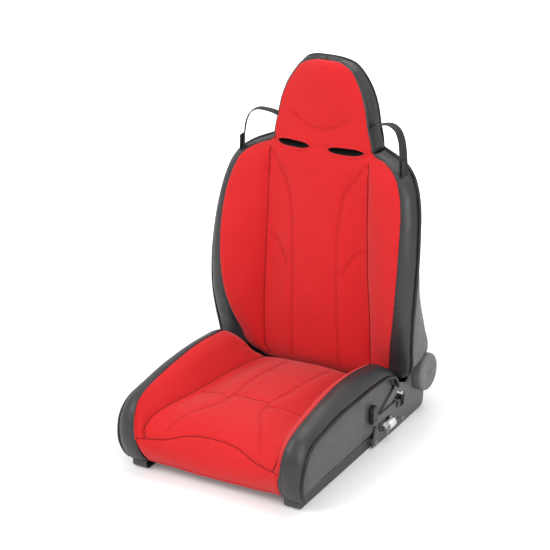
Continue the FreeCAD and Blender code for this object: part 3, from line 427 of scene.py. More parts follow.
def resampled(points: Grid, step: float) -> Grid:
    """Return the smooth run through points along the first axis, sampled about every step."""
    knots = chords(points)
    count = max(3, int(round(knots[-1] / step)) + 1)
    return spline(points, knots, np.linspace(0.0, knots[-1], count))


def stretched(net: Grid, step: float) -> Grid:
    """Return the smooth surface through a control net, its points about step apart both ways."""
    for _ in range(2):
        net = np.swapaxes(resampled(net, step), 0, 1)
    return net


def smooth_path(points: Sequence[Sequence[float]], step: float) -> Grid:
    """Return the smooth curve through points, sampled every step."""
    return resampled(np.array(points, float), step)


def mirrored(points: Sequence) -> Grid:
    """Return points reflected in the seat's middle plane."""
    return np.array(points, float) * Side.RIGHT.flip


def both_halves(half: Grid) -> Grid:
    """Return a net whose columns run from the right edge over the middle to the left edge."""
    return np.concatenate([mirrored(half)[:, :0:-1], half], axis=1)


def grid_normals(grid: Grid) -> Grid:
    """Return unit normals: the cross product of the two directions of the grid."""
    return unit(np.cross(np.gradient(grid, axis=1), np.gradient(grid, axis=0)))


def quads(rows: int, columns: int, start: int = 0) -> np.ndarray:
    """Return the faces of a grid of points whose numbers begin at start."""
    number = np.arange(rows * columns).reshape(rows, columns) + start
    return np.stack([number[:-1, :-1], number[:-1, 1:], number[1:, 1:], number[1:, :-1]],
                    axis=-1).reshape(-1, 4)


def rim_quads(rows: int, columns: int) -> np.ndarray:
    """Return the faces that join the rim of a grid to the rim of a second one after it."""
    number = np.arange(rows * columns).reshape(rows, columns)
    loop = np.concatenate([number[0, :-1], number[:-1, -1], number[-1, :0:-1], number[:0:-1, 0]])
    ahead = np.roll(loop, -1)
    shift = rows * columns
    return np.stack([ahead, loop, loop + shift, ahead + shift], axis=-1)


@dataclass
class Skin:
    """Points and four-sided faces of one closed piece, in millimetres."""
    points: Grid
    faces: np.ndarray

    def volume(self) -> float:
        """Return the signed volume: a sum of tetrahedra from the origin to each face."""
        a, b, c, d = (self.points[self.faces[:, k]] for k in range(4))
        first = np.einsum("ij,ij->i", a, np.cross(b, c))
        second = np.einsum("ij,ij->i", a, np.cross(c, d))
        return float((first + second).sum() / 6)

    def outwards(self) -> "Skin":
        """Return the skin with its faces pointing out."""
        if self.volume() < 0:
            return Skin(self.points, self.faces[:, ::-1])
        return self

    def on(self, side: Side) -> "Skin":
        """Return the left side's skin carried to a side."""
        return Skin(self.points * side.flip, self.faces).outwards()


def joined(skins: Sequence[Skin]) -> Skin:
    """Return several skins as a single piece."""
    starts = np.cumsum([0] + [len(skin.points) for skin in skins[:-1]])
    faces = [skin.faces + start for skin, start in zip(skins, starts)]
    return Skin(np.vstack([skin.points for skin in skins]), np.vstack(faces))


def slab(front: Grid, back: Grid) -> Skin:
    """Return the closed form between two grids of the same size."""
    rows, columns = front.shape[:2]
    points = np.concatenate([front.reshape(-1, 3), back.reshape(-1, 3)])
    rear = quads(rows, columns, rows * columns)[:, ::-1]
    faces = np.concatenate([quads(rows, columns), rear, rim_quads(rows, columns)])
    return Skin(points, faces).outwards()


def rounded_slab(front: Grid, back: Grid, roll: float) -> Skin:
    """Return a slab whose rim rolls over: the outer rings of the front are drawn in by roll."""
    ring = np.zeros(front.shape[:2])
    for depth, share in ((0, 1.0), (1, 0.35), (2, 0.08)):
        for line in (ring[depth], ring[-1 - depth], ring[:, depth], ring[:, -1 - depth]):
            np.maximum(line, share, out=line)
    return slab(front + unit(back - front) * (ring * roll)[..., None], back)


def sweep(path: Grid, profile: Grid, reference: Sequence[float], closed: bool = False) -> Skin:
    """Return a profile carried along a path.

    Each ring is the path's point plus the profile's first value times the direction square to
    the path and the reference, plus its second value times the direction square to both.

    Args:
        path: points of the middle line.
        profile: closed outline as (sideways, up) pairs.
        reference: a direction that the path never follows.
        closed: whether the path joins its own start.

    Returns:
        The closed skin.
    """
    if closed:
        way = np.roll(path, -1, axis=0) - np.roll(path, 1, axis=0)
    else:
        way = np.gradient(path, axis=0)
    way = unit(way)
    side = unit(np.cross(way, np.array(reference, float)))
    up = np.cross(side, way)
    rings = path[:, None] + side[:, None] * profile[None, :, :1] + up[:, None] * profile[None, :, 1:]
    sides = rings.shape[1]
    if closed:
        rings = np.concatenate([rings, rings[:1]])
    else:
        middle = rings.mean(axis=1, keepdims=True)
        rings = np.concatenate([middle[:1] + 0 * rings[:1], rings, middle[-1:] + 0 * rings[-1:]])
    rings = np.concatenate([rings, rings[:, :1]], axis=1)
    return Skin(rings.reshape(-1, 3), quads(rings.shape[0], sides + 1)).outwards()


def circle(radius: float, sides: int = 12) -> Grid:
    """Return a circle's outline: cosine and sine of equal steps times the radius."""
    angle = np.linspace(0, 2 * math.pi, sides, endpoint=False)
    return radius * np.stack([np.cos(angle), np.sin(angle)], axis=1)


def ribbon(width: float, thickness: float, ribs: int = 0) -> Grid:
    """Return a strap's outline: a flat oval whose faces carry shallow ribs."""
    t = np.linspace(-1, 1, max(9, 4 * ribs + 1))
    edge = thickness / 2 * (1 - np.abs(t) ** 12 * 0.7)
    wave = 0.12 * thickness * np.cos(t * math.pi * ribs) if ribs else 0 * t
    top = np.stack([edge + wave, t * width / 2], axis=1)
    low = np.stack([-edge - wave, t * width / 2], axis=1)[::-1]
    return np.concatenate([top, low])


def ripples(points: Grid, height: float, length: float, seed: int) -> np.ndarray:
    """Return soft uneven waves: a sum of seven sine waves of seeded directions and phases."""
    chance = np.random.default_rng(seed)
    total = np.zeros(points.shape[:-1])
    for _ in range(7):
        way = chance.normal(size=3)
        way *= 2 * math.pi / (length * chance.uniform(0.6, 1.6) * np.linalg.norm(way))
        total += np.sin(points @ way + chance.uniform(0, TURN))
    return total * height / 3.0


# Blender objects


def mesh_piece(name: str, skin: Skin, material: bpy.types.Material, merge: bool = False) -> Any:
    """Return a smooth-shaded object made from a skin, at the origin and in metres."""
    mesh = bpy.data.meshes.new(name)
    mesh.from_pydata((skin.points * MM).tolist(), [], skin.faces.tolist())
    mesh.validate()
    piece = bpy.data.objects.new(name, mesh)
    bpy.context.scene.collection.objects.link(piece)
    mesh.materials.append(material)
    mesh.shade_smooth()
    if merge:
        weld(piece)
    return piece


def weld(piece: Any) -> None:
    """Merge a piece's doubled points, which drops its empty faces."""
    modifier = piece.modifiers.new("weld", "WELD")
    modifier.merge_threshold = 1e-5
    apply_modifiers(piece)


def apply_modifiers(piece: Any) -> None:
    """Replace a piece's mesh by what its modifiers make of it."""
    graph = bpy.context.evaluated_depsgraph_get()
    mesh = bpy.data.meshes.new_from_object(piece.evaluated_get(graph))
    old = piece.data
    piece.modifiers.clear()
    piece.data = mesh
    bpy.data.meshes.remove(old)


def positions(mesh: Any) -> Grid:
    """Return a mesh's points in millimetres."""
    flat = np.zeros(len(mesh.vertices) * 3, np.float32)
    mesh.vertices.foreach_get("co", flat)
    return flat.reshape(-1, 3).astype(float) / MM


def search_tree(grid: Grid) -> BVHTree:
    """Return a search tree of a grid's faces."""
    return BVHTree.FromPolygons(grid.reshape(-1, 3).tolist(), quads(*grid.shape[:2]).tolist())


def nearest_points(tree: BVHTree, points: Grid) -> Grid:
    """Return the nearest point of a searched surface to each point."""
    return np.array([tree.find_nearest(Vector(point))[0] for point in points])


CLOTH = {"vertex_group_mass": "held", "quality": 6, "mass": 0.3, "tension_stiffness": 20.0,
         "compression_stiffness": 20.0, "shear_stiffness": 12.0, "bending_stiffness": 1.5,
         "use_pressure": True, "uniform_pressure_force": 4.0}
CLOTH_FRAMES = 16


def swelling(front: Grid, back: Grid, held: np.ndarray, cap: float) -> Grid:
    """Blow a pad up by a cloth simulation and return how its front moves.

    Args:
        front: the pad's front on a coarse grid.
        back: its back on the same grid, which stays still.
        held: how firmly each front point is sewn down, from 0 to 1.
        cap: the limit that a point's travel approaches.

    Returns:
        The travel of the front's points: d times cap / (length of d + cap).
    """
    piece = mesh_piece("swelling", slab(front, back), None)
    group = piece.vertex_groups.new(name="held")
    ring = held.copy()
    ring[0, :] = ring[-1, :] = 1.0
    ring[:, 0] = ring[:, -1] = 1.0
    weights = np.round(np.concatenate([ring.ravel(), np.ones(ring.size)]), 1)
    for level in np.unique(weights):
        group.add(np.nonzero(weights == level)[0].tolist(), float(level), "REPLACE")
    cloth = piece.modifiers.new("cloth", "CLOTH")
    for key, value in CLOTH.items():
        setattr(cloth.settings, key, value)
    cloth.settings.effector_weights.gravity = 0.0
    cloth.collision_settings.use_collision = False
    cloth.point_cache.frame_end = CLOTH_FRAMES
    scene = bpy.context.scene
    for frame in range(1, CLOTH_FRAMES + 1):
        scene.frame_set(frame)
    graph = bpy.context.evaluated_depsgraph_get()
    moved = positions(piece.evaluated_get(graph).data)[:ring.size]
    bpy.data.objects.remove(piece)
    scene.frame_set(1)
    travel = moved.reshape(front.shape) - front
    size = np.linalg.norm(travel, axis=-1, keepdims=True)
    return travel * cap / (size + cap)


# Sewn covers


# Where the rows of thread lie beside a seam's line
ROW_SHIFTS = {Sewn.SINGLE: (0.0,), Sewn.DOUBLE: (-3.0, 3.0)}
OUTSIDE = (0.0, -1.0, 0.15)
# The wider dip beside a groove, as shares of the groove's depth and width
DIP_DEPTH = 0.35
DIP_WIDTH = 4.5
# The puckers' height and reach, their rate along a seam, and how that rate drifts
PUCKER = 0.3
PUCKER_REACH = 9.0
PUCKER_RATE = 0.47
DRIFT = 1.7
DRIFT_RATE = 0.11
# The length of the soft waves on every cover
WAVE_LENGTH = 70.0
SEAM_STEP = 2.0
HOLD_REACH = 8.0
# The painted-shade cord in a crease: its radius, the step of its line, and how often that line is smoothed
SHADE_CORD_RADIUS = 1.1
SHADE_CORD_STEP = 3.0
SHADE_CORD_PASSES = 12
# Points of the fine grid to one point of the simulated grid
COARSENESS = 5


@dataclass
class Seam:
    """A sewn line on a cover, with its groove and what shows in it."""
    points: Sequence
    depth: float
    width: float
    sewn: Sewn
    held: float = 0.8

    def mirrored(self) -> "Seam":
        """Return the same seam on the other side."""
        return Seam(mirrored(self.points), self.depth, self.width, self.sewn, self.held)


def nearest_gap(grid: Grid, path: Grid) -> tuple[np.ndarray, np.ndarray]:
    """Return each grid point's distance to the nearest point of a path, and that point's number."""
    flat = grid.reshape(-1, 3)
    best = np.full(len(flat), 1e9)
    place = np.zeros(len(flat))
    for numbers in np.array_split(np.arange(len(path)), max(1, len(path) // 24)):
        gaps = np.linalg.norm(flat[:, None] - path[numbers][None], axis=-1)
        nearer = gaps.min(axis=1) < best
        place = np.where(nearer, numbers[gaps.argmin(axis=1)], place)
        best = np.minimum(best, gaps.min(axis=1))
    return best.reshape(grid.shape[:2]), place.reshape(grid.shape[:2])


@dataclass
class Cover:
    """A padded cover on a grid, with its sewn lines.

    Its front swells by at most cap, waves by wave after a seed, and rolls in at the rim by roll.
    """
    front: Grid
    back: Grid
    seams: list[Seam]
    cap: float
    wave: float
    seed: int
    roll: float

    def facing(self) -> Grid:
        """Return the front's normals, pointing away from the back layer."""
        normal = grid_normals(self.front)
        away = np.einsum("ijk,ijk->", normal, self.front - self.back)
        return normal if away > 0 else -normal

    def shaped(self) -> "Cover":
        """Swell the front by simulation, press its seams in, add soft unevenness and return it.

        A seam's drop at distance g is depth * exp(-(g / width)^2) plus a wider, shallower bell of
        the same kind, and small puckers run along it as a sine of a sine.
        """
        tree = search_tree(self.front)
        for seam in self.seams:
            seam.points = nearest_points(tree, smooth_path(seam.points, SEAM_STEP))
        self.front = self.front + self.swell()
        normal = self.facing()
        drop = np.zeros(self.front.shape[:2])
        for seam in self.seams:
            gap, place = nearest_gap(self.front, seam.points)
            groove = seam.depth * np.exp(-(gap / seam.width) ** 2)
            pull = DIP_DEPTH * seam.depth * np.exp(-(gap / (DIP_WIDTH * seam.width)) ** 2)
            phase = place * PUCKER_RATE + DRIFT * np.sin(place * DRIFT_RATE)
            pucker = np.sin(phase) * np.exp(-(gap / PUCKER_REACH) ** 2)
            drop = np.maximum(drop, groove + pull) + PUCKER * pucker
        drop += ripples(self.front, self.wave, WAVE_LENGTH, self.seed)
        self.front = self.front - normal * drop[..., None]
        return self

    def swell(self) -> Grid:
        """Return the fine front's travel, read smoothly from a coarse simulated copy."""
        sizes = self.front.shape[:2]
        picks = [np.unique(np.linspace(0, size - 1, max(4, size // COARSENESS)).round().astype(int))
                 for size in sizes]
        chosen = np.ix_(*picks)
        coarse = self.front[chosen]
        held = np.zeros(coarse.shape[:2])
        for seam in self.seams:
            gap, _ = nearest_gap(coarse, seam.points)
            held = np.maximum(held, seam.held * np.exp(-(gap / HOLD_REACH) ** 2))
        travel = swelling(coarse, self.back[chosen], held, self.cap)
        for pick, size in zip(picks, sizes):
            travel = spline(travel, pick.astype(float), np.arange(size, dtype=float))
            travel = np.swapaxes(travel, 0, 1)
        return travel

    def skin(self) -> Skin:
        """Return the closed skin of the cover."""
        return rounded_slab(self.front, self.back, self.roll)

    def threads(self) -> Skin:
        """Return every stitch of the cover's threaded seams."""
        tree = search_tree(self.front)
        normal = self.facing().reshape(-1, 3)
        faces = quads(*self.front.shape[:2])
        return joined([stitch_row(tree, normal[faces].mean(axis=1), seam.points, shift)
                       for seam in self.seams for shift in ROW_SHIFTS.get(seam.sewn, ())])

    def creases(self) -> Skin:
        """Return a thin dark cord of painted shade in the bottom of every creased seam."""
        tree = search_tree(self.front)
        cords = []
        for seam in self.seams:
            if seam.sewn is Sewn.CREASE:
                line = nearest_points(tree, seam.points)
                for _ in range(SHADE_CORD_PASSES):
                    line[1:-1] = (line[:-2] + 2 * line[1:-1] + line[2:]) / 4
                kept = np.concatenate([[True], np.linalg.norm(np.diff(line, axis=0), axis=1) > 0.3])
                line = smooth_path(line[kept][::3], SHADE_CORD_STEP)
                cords.append(sweep(line, circle(SHADE_CORD_RADIUS, 6), OUTSIDE))
        return joined(cords)


def capsules(spots: Grid, ways: Grid, sides: Grid, outs: Grid, along: np.ndarray,
             thick: np.ndarray) -> Skin:
    """Return one six-sided stitch at every spot.

    Args:
        spots: the middles of the stitches.
        ways: the direction of each one.
        sides: the direction beside each one.
        outs: the direction out of the cloth at each one.
        along: where its rings lie on its length.
        thick: the radius of each ring.

    Returns:
        All stitches as one skin.
    """
    angle = np.linspace(0, 2 * math.pi, 7)
    ring = (spots[:, None, None] + ways[:, None, None] * along[None, :, None, None]
            + sides[:, None, None] * (thick[:, None] * np.cos(angle))[None, ..., None]
            + outs[:, None, None] * (thick[:, None] * np.sin(angle))[None, ..., None])
    count, rings, points = ring.shape[:3]
    every = quads(rings, points)[None] + (np.arange(count) * rings * points)[:, None, None]
    return Skin(ring.reshape(-1, 3), every.reshape(-1, 4)).outwards()


def stitch_row(tree: BVHTree, normal: Grid, path: Grid, shift: float) -> Skin:
    """Return a row of thread stitches beside a seam.

    Args:
        tree: the cover's front as a search tree.
        normal: the outward direction of each of its faces.
        path: the seam's line.
        shift: how far the row lies beside the line.

    Returns:
        All stitches as one skin.
    """
    pitch, length, radius = 4.4, 3.6, 0.55
    knots = chords(path)
    centres = np.arange(pitch, knots[-1] - pitch / 2, pitch)
    spots = spline(path, knots, centres)
    ways = unit(spline(path, knots, centres + 0.5) - spots)
    outs = np.array([normal[tree.find_nearest(Vector(spot))[2]] for spot in spots])
    sides = unit(np.cross(outs, ways))
    moved = nearest_points(tree, spots + sides * shift) + outs * radius * 0.5
    along = np.array([-0.5, -0.38, -0.15, 0.15, 0.38, 0.5]) * length
    thick = np.array([0.05, 0.75, 1.0, 1.0, 0.75, 0.05]) * radius
    return capsules(moved, ways, sides, outs, along, thick)


def tack_row(start: Grid, end: Grid, out: Grid) -> Skin:
    """Return stitches on a straight line between two points, raised along out."""
    pitch, length, radius = 3.4, 2.4, 0.45
    gap = float(np.linalg.norm(end - start))
    count = max(2, int(gap / pitch))
    way = (end - start) / gap
    spots = start + (np.arange(count) + 0.5)[:, None] * (gap / count) * way
    every = np.ones((count, 1))
    along = np.array([-0.5, -0.35, 0.35, 0.5]) * length
    thick = np.array([0.05, 0.8, 0.8, 0.05]) * radius
    return capsules(spots, way * every, np.cross(out, way) * every, out * every, along, thick)


def dress(piece: Any, body: Body, nodes: Sequence[str] = ()) -> None:
    """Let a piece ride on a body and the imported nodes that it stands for.

    Args:
        piece: the finished object.
        body: the body that carries it.
        nodes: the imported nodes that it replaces.
    """
    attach(piece, body.value)
    if nodes:
        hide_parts(*nodes)
    LOG.info("%s: %d faces on %s", piece.name, len(piece.data.polygons), body.value)


@dataclass
class Maker:
    """What every maker of pieces shares: the finishes, and the body that its pieces ride on."""
    finishes: Finishes
    body: ClassVar[Body] = Body.BASE
    # distance between the points of a cover, and of a cord
    step: ClassVar[float] = 3.0
    cord_step: ClassVar[float] = 5.0
    cord_radius: ClassVar[float] = 4.2
    strap_width: ClassVar[float] = 44.0
    strap_thickness: ClassVar[float] = 2.3

    def add(self, name: str, skin: Skin, finish: str, slot: Slot, nodes: Sequence[str] = (),
            merge: bool = False, fill: float = 0.0) -> None:
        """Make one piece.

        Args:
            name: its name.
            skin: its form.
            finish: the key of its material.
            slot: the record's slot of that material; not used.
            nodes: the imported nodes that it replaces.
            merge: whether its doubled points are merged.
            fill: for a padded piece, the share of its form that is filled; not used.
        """
        piece = mesh_piece(name, skin, self.finishes.get(finish), merge)
        dress(piece, self.body, nodes)

    def red_cover(self, prefix: str, cover: Cover, skin: Skin, nodes: Sequence[str]) -> None:
        """Make a red cover from a skin, with the thread of its seams and the dark cords of painted shade in
        its creases.
        """
        self.add(f"{prefix}_cover", skin, "red", Slot.RED, nodes, fill=0.75)
        self.add(f"{prefix}_stitches", cover.threads(), "thread", Slot.RED)
        # the dark cords in the creased seams are painted shade
        self.add(f"{prefix}_creases", cover.creases(), "crease", Slot.RED)

    def black_band(self, prefix: str, cover: Cover, cord: Grid, reference: Sequence[float]) -> None:
        """Make a sewn band and the piping beside it, on both sides."""
        skin = cover.shaped().skin()
        threads = cover.threads()
        for side in Side:
            self.add(f"{prefix}_band_{side.word}", skin.on(side), "vinyl", Slot.VINYL,
                     [f"{prefix}_side_band_{side.word}"], fill=0.6)
            self.add(f"{prefix}_band_thread_{side.word}", threads.on(side), "black_thread", Slot.VINYL)
            rope = sweep(cord * side.flip, circle(self.cord_radius), reference)
            self.add(f"{prefix}_cord_{side.word}", rope, "cord", Slot.PIPING,
                     [f"{prefix}_piping_{side.word}"], merge=True)

    def straps(self, node: str, name: str, axis: int, count: int) -> None:
        """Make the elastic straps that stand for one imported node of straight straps.

        Args:
            node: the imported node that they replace.
            name: the new piece's name.
            axis: the direction in which they are spread, 1 or 2.
            count: how many there are.
        """
        low, high = (np.array(corner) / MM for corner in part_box(node))
        half = self.strap_width / 2
        flat = 3 - axis
        reference = (0, 1, 0) if axis == 1 else (0, 0, 1)
        made = []
        for middle in np.linspace(low[axis] + half, high[axis] - half, count):
            points = np.zeros((9, 3))
            points[:, 0] = np.linspace(low[0] + 1, high[0] - 1, 9)
            points[:, axis] = middle
            points[:, flat] = (low[flat] + high[flat]) / 2
            profile = ribbon(self.strap_width, self.strap_thickness, 7)
            made.append(sweep(smooth_path(points, 12.0), profile, reference))
        self.add(name, joined(made), "webbing", Slot.WEBBING, [node], merge=True)


# Backrest


@dataclass
class Backrest(Maker):
    """The padded backrest and headrest with their cover, bands, shell, slots and loops."""
    body: ClassVar[Body] = Body.BACK
    slot_z: float = 708.0
    slot_middle_x: float = 75.0
    slot_half_width: float = 51.0
    slot_half_height: float = 9.0
    slot_rear_y: float = 324.0
    slot_rim_radius: float = 3.0
    slot_edge_radius: float = 2.2
    neck_z: float = 700
    back_thickness: float = 34.0
    head_thickness: float = 22.0
    shell_thickness: float = 4.0
    hood_thickness: float = 5.0
    hood_cord_radius: float = 2.4
    under_cloth: float = 3.0
    loop_width: float = 25
    loop_thickness: float = 2.4
    patch_width: float = 27
    patch_thickness: float = 2.2
    # how far the right loop hangs lower than the left one
    loop_sag: float = 14.0
    # z, seam x, seam y, crown, edge x, edge y, bow x, bow y
    cover_rows: tuple = (
        (98, 146, 206, 3, 160, 207, 0, 0), (112, 150, 200, 4, 174, 199, 0, -1),
        (126, 156, 196, 5, 200, 193, -3, -4), (142, 158, 193, 7, 214, 188, -5, -7),
        (172, 158, 192, 9, 220, 179, -6, -8), (225, 158, 192, 9, 232, 158, -6, -8),
        (290, 156, 193, 9, 246, 143, -6, -8), (370, 151, 195, 9, 255, 139, -6, -8),
        (450, 148, 199, 9, 258, 147, -6, -8), (527, 145, 205, 9, 256, 163, -6, -8),
        (590, 144, 210, 9, 249, 183, -6, -8), (630, 143, 214, 9, 238, 197, -5, -8),
        (660, 142, 217, 9, 223, 209, -4, -6), (680, 139, 220, 8, 200, 224, -2, -4),
        (692, 130, 222, 7, 172, 235, 0, -2), (701, 108, 225, 6, 150, 238, 0, -1),
        (714, 90, 228, 5, 141, 238, 0, -1), (730, 86, 233, 4, 139, 239, 0, -1),
        (775, 80, 238, 3, 129, 243, 0, -1), (820, 74, 241, 4, 120, 248, 0, -1),
        (862, 64, 246, 6, 104, 256, 0, -1), (890, 56, 252, 8, 87, 262, 0, -1),
        (904, 49, 256, 8, 76, 265, 0, -1), (913, 42, 259, 8, 63, 267, 0, -1),
        (919, 33, 262, 6, 48, 268, 0, 0), (923, 22, 265, 3, 32, 269, 0, 0),
        (924.5, 8, 268, 1, 12, 270, 0, 0))
    # z, edge x, edge y, piping x, piping y, corner x, corner y, rear y
    side_rows: tuple = (
        (158, 217, 182, 280, 176, 257, 334, 366), (172, 220, 179, 283, 177, 258, 332, 364),
        (225, 232, 158, 288, 169, 258, 313, 346), (290, 246, 143, 293, 164, 262, 286, 327),
        (370, 255, 139, 296, 171, 267, 258, 311), (450, 258, 147, 295, 187, 264, 257, 305),
        (527, 256, 163, 289, 207, 256, 268, 306), (590, 249, 183, 279, 228, 246, 280, 310),
        (630, 238, 197, 266, 243, 234, 286, 313), (660, 223, 209, 246, 260, 214, 292, 316),
        (680, 200, 224, 216, 279, 186, 302, 319), (692, 172, 236, 187, 288, 152, 310, 321),
        (707, 143, 238, 152, 292, 128, 316, 323))
    # z, edge x, edge y, front x, front y, side x, side y, rear x, rear y
    hood_rows: tuple = (
        (709, 142, 237, 151, 262, 150, 288, 112, 321), (730, 140, 239, 149, 264, 148, 290, 108, 324),
        (775, 130, 243, 139, 268, 138, 294, 100, 325), (820, 121, 248, 130, 272, 129, 297, 90, 324),
        (862, 105, 256, 114, 277, 113, 299, 76, 320), (890, 88, 262, 96, 281, 95, 300, 62, 314),
        (904, 77, 265, 85, 282, 84, 299, 54, 310), (914, 62, 267, 73, 283, 74, 298, 46, 306),
        (920, 46, 268.5, 62, 283, 66, 296, 40, 302), (923.5, 30, 269.5, 50, 280, 60, 294, 36, 300),
        (926, 8, 271, 38, 278, 54, 292, 32, 297), (928.5, -3, 273, 30, 278, 47, 290, 28, 294),
        (931, -3, 275.5, 24, 279, 38, 288, 22, 291), (933, -3, 278, 15, 281, 24, 286, 14, 288),
        (934, -2, 281, 5, 282.5, 8, 284.5, 5, 285.5))

    def cover(self) -> Grid:
        """Make the red cover from the foot of the backrest over the headrest, and return its front."""
        half = []
        for z, seam_x, seam_y, crown, edge_x, edge_y, bow_x, bow_y in self.cover_rows:
            bow = ((seam_x + edge_x) / 2 + bow_x, (seam_y + edge_y) / 2 + bow_y)
            quarter = ((seam_x + bow[0]) / 2 - 1, (seam_y + bow[1]) / 2 + bow_y * 0.3)
            half.append([(0, seam_y - crown, z), (seam_x * 0.5, seam_y - crown * 0.78, z),
                         (seam_x, seam_y, z), (*quarter, z), (*bow, z), (edge_x, edge_y, z)])
        front = stretched(both_halves(np.array(half, float)), self.step)
        height = front[..., 2]
        deepest = front[..., 1].max(axis=1, keepdims=True)
        depth = np.where(height < self.neck_z, self.back_thickness, self.head_thickness)
        back = np.stack([front[..., 0] * 0.985, deepest + depth, height], axis=-1)
        cover = Cover(front, back, self.cover_seams(), cap=6.0, wave=0.4, seed=11, roll=3.0).shaped()
        self.red_cover("back", cover, self.slotted(cover.skin()),
                       ["back_centre_pad", "back_bolster_left", "back_bolster_right", "headrest_pad"])
        return cover.front

    def cover_seams(self) -> list[Seam]:
        """Return the seams of the red cover, in the order of their making."""
        upright = [(max(row[1], 141), row[2], row[0]) for row in self.cover_rows if 100 < row[0] < 695]
        sweeping = [(136, 221, 684), (108, 212, 640), (87, 205, 610), (71, 199, 548), (65, 192, 453),
                    (65, 186, 316), (69, 186, 200), (70, 186, 124)]
        hook = [(143, 198, 464), (119, 195, 447), (101, 192, 422), (88, 190, 400), (79, 188, 378)]
        collar = [(-80, 240, 786), (-58, 237, 773), (-32, 235, 761), (0, 234, 755), (32, 235, 761),
                  (58, 237, 773), (80, 240, 786)]
        neck = [(-140, 237, 708), (-75, 226, 708), (0, 222, 708), (75, 226, 708), (140, 237, 708)]
        sides = [Seam(upright, 3.0, 2.6, Sewn.CREASE, 0.95),
                 Seam(sweeping, 1.5, 3.0, Sewn.DOUBLE),
                 Seam(hook, 1.2, 3.0, Sewn.DOUBLE)]
        middle = [Seam(collar, 1.2, 3.0, Sewn.DOUBLE),
                  Seam(neck, 2.0, 5.0, Sewn.BARE, 0.9)]
        return sides + [seam.mirrored() for seam in sides] + middle

    def lens(self, x: np.ndarray, grow: float = 0.0) -> np.ndarray:
        """Return the slot's half height at x: a blunt lens, 1 - share to the fourth power."""
        share = (np.abs(x) - self.slot_middle_x) / (self.slot_half_width + grow)
        share = np.clip(share, -1.0, 1.0)
        return (self.slot_half_height + grow) * (1 - share ** 4) ** 0.8

    def slotted(self, skin: Skin) -> Skin:
        """Return a skin with the two harness slots cut out, its edge drawn to their outline."""
        height = self.lens(skin.points[:, 0], 0.3)
        off = skin.points[:, 2] - self.slot_z
        inside = np.abs(off) < height
        height = np.maximum(height, 0.0)
        kept = ~inside[skin.faces].all(axis=1)
        skin.points[:, 2] = np.where(inside, self.slot_z + np.where(off < 0, -height, height),
                                     skin.points[:, 2])
        return Skin(skin.points, skin.faces[kept])

    def slot_line(self, grow: float, count: int = 96) -> Grid:
        """Return the left slot's outline in the x-z plane, grown by an amount."""
        angle = np.linspace(0, 2 * math.pi, count, endpoint=False)
        x = self.slot_middle_x + (self.slot_half_width + grow) * np.cos(angle)
        z = self.slot_z + np.sign(np.sin(angle)) * np.maximum(self.lens(x, grow), 0.0)
        return np.stack([x, np.full(count, 0.0), z], axis=1)

    def slots(self, front: Grid) -> None:
        """Make each slot's piped rim on the front and its cloth sleeve to the rear."""
        tree = search_tree(front)
        flat = np.array([1.0, 0.0, 1.0])
        ahead = np.array([0.0, 1.0, 0.0])
        for side in Side:
            outline = self.slot_line(1.8) * side.flip
            hits = [tree.ray_cast(Vector((p[0], 0.0, p[2])), Vector(ahead))[0] for p in outline]
            depth = np.array([hit.y if hit is not None else 235.0 for hit in hits])
            depth = np.convolve(np.concatenate([depth[-3:], depth, depth[:3]]), np.ones(7) / 7, "valid")
            outline[:, 1] = depth - 0.6
            rim = sweep(outline, circle(self.slot_rim_radius), ahead, True)
            self.add(f"slot_rim_{side.word}", rim, "red", Slot.RED, merge=True)
            share = np.linspace(0, 1, 24)[:, None, None]
            start = ahead * (outline[:, 1:2] + 1.0)
            wall = []
            for grow in (0.2, 2.0):
                loop = (self.slot_line(grow) * side.flip * flat)[None] + start[None] * (1 - share)
                loop = loop + ahead * self.slot_rear_y * share
                pinch = 1 - 0.12 * np.sin(share * math.pi)
                loop[..., 2:] = self.slot_z + (loop[..., 2:] - self.slot_z) * pinch
                wall.append(np.concatenate([loop, loop[:, :1]], axis=1))
            self.add(f"slot_sleeve_{side.word}", slab(*wall), "cloth", Slot.LINING,
                     [f"harness_slot_{side.word}"], merge=True)
            rear = self.slot_line(1.4) * side.flip + ahead * (self.slot_rear_y + 0.5)
            edge = sweep(rear, circle(self.slot_edge_radius), ahead, True)
            self.add(f"slot_edge_{side.word}", edge, "cord", Slot.PIPING, merge=True)

    def bands(self) -> None:
        """Make the black band between the red cover and the piping, on both sides."""
        foot = (134, 207, 188, 258, 192)
        full_width = 45
        net = []
        for z, edge_x, edge_y, pipe_x, pipe_y, *_ in (foot,) + self.side_rows:
            share = np.linspace(0, 1, 5)[:, None]
            inner = np.array([edge_x - 3, edge_y + 3, z])
            outer = np.array([pipe_x, pipe_y, z])
            line = (1 - share) * inner + share * outer
            scale = min(1.0, math.hypot(pipe_x - edge_x, pipe_y - edge_y) / full_width)
            net.append(line + 4 * share * (1 - share) * np.array([8, -6, 0]) * scale)
        front = stretched(np.array(net), self.step)
        middle = front.mean(axis=1, keepdims=True)
        back = front * 0.55 + (middle + np.array([-8.0, 26.0, 0.0])) * 0.45
        seams = [Seam(front[::6, 2], 0.9, 2.4, Sewn.SINGLE, 0.6)]
        cord = np.array([(row[3] + 2.0, row[4] + 2.4, row[0]) for row in self.side_rows], float)
        cord[-1] = (146, 296, 709)
        self.black_band("back", Cover(front, back, seams, cap=4.0, wave=0.45, seed=21, roll=0.8),
                        smooth_path(cord, self.cord_step), (1, 0.3, 0))

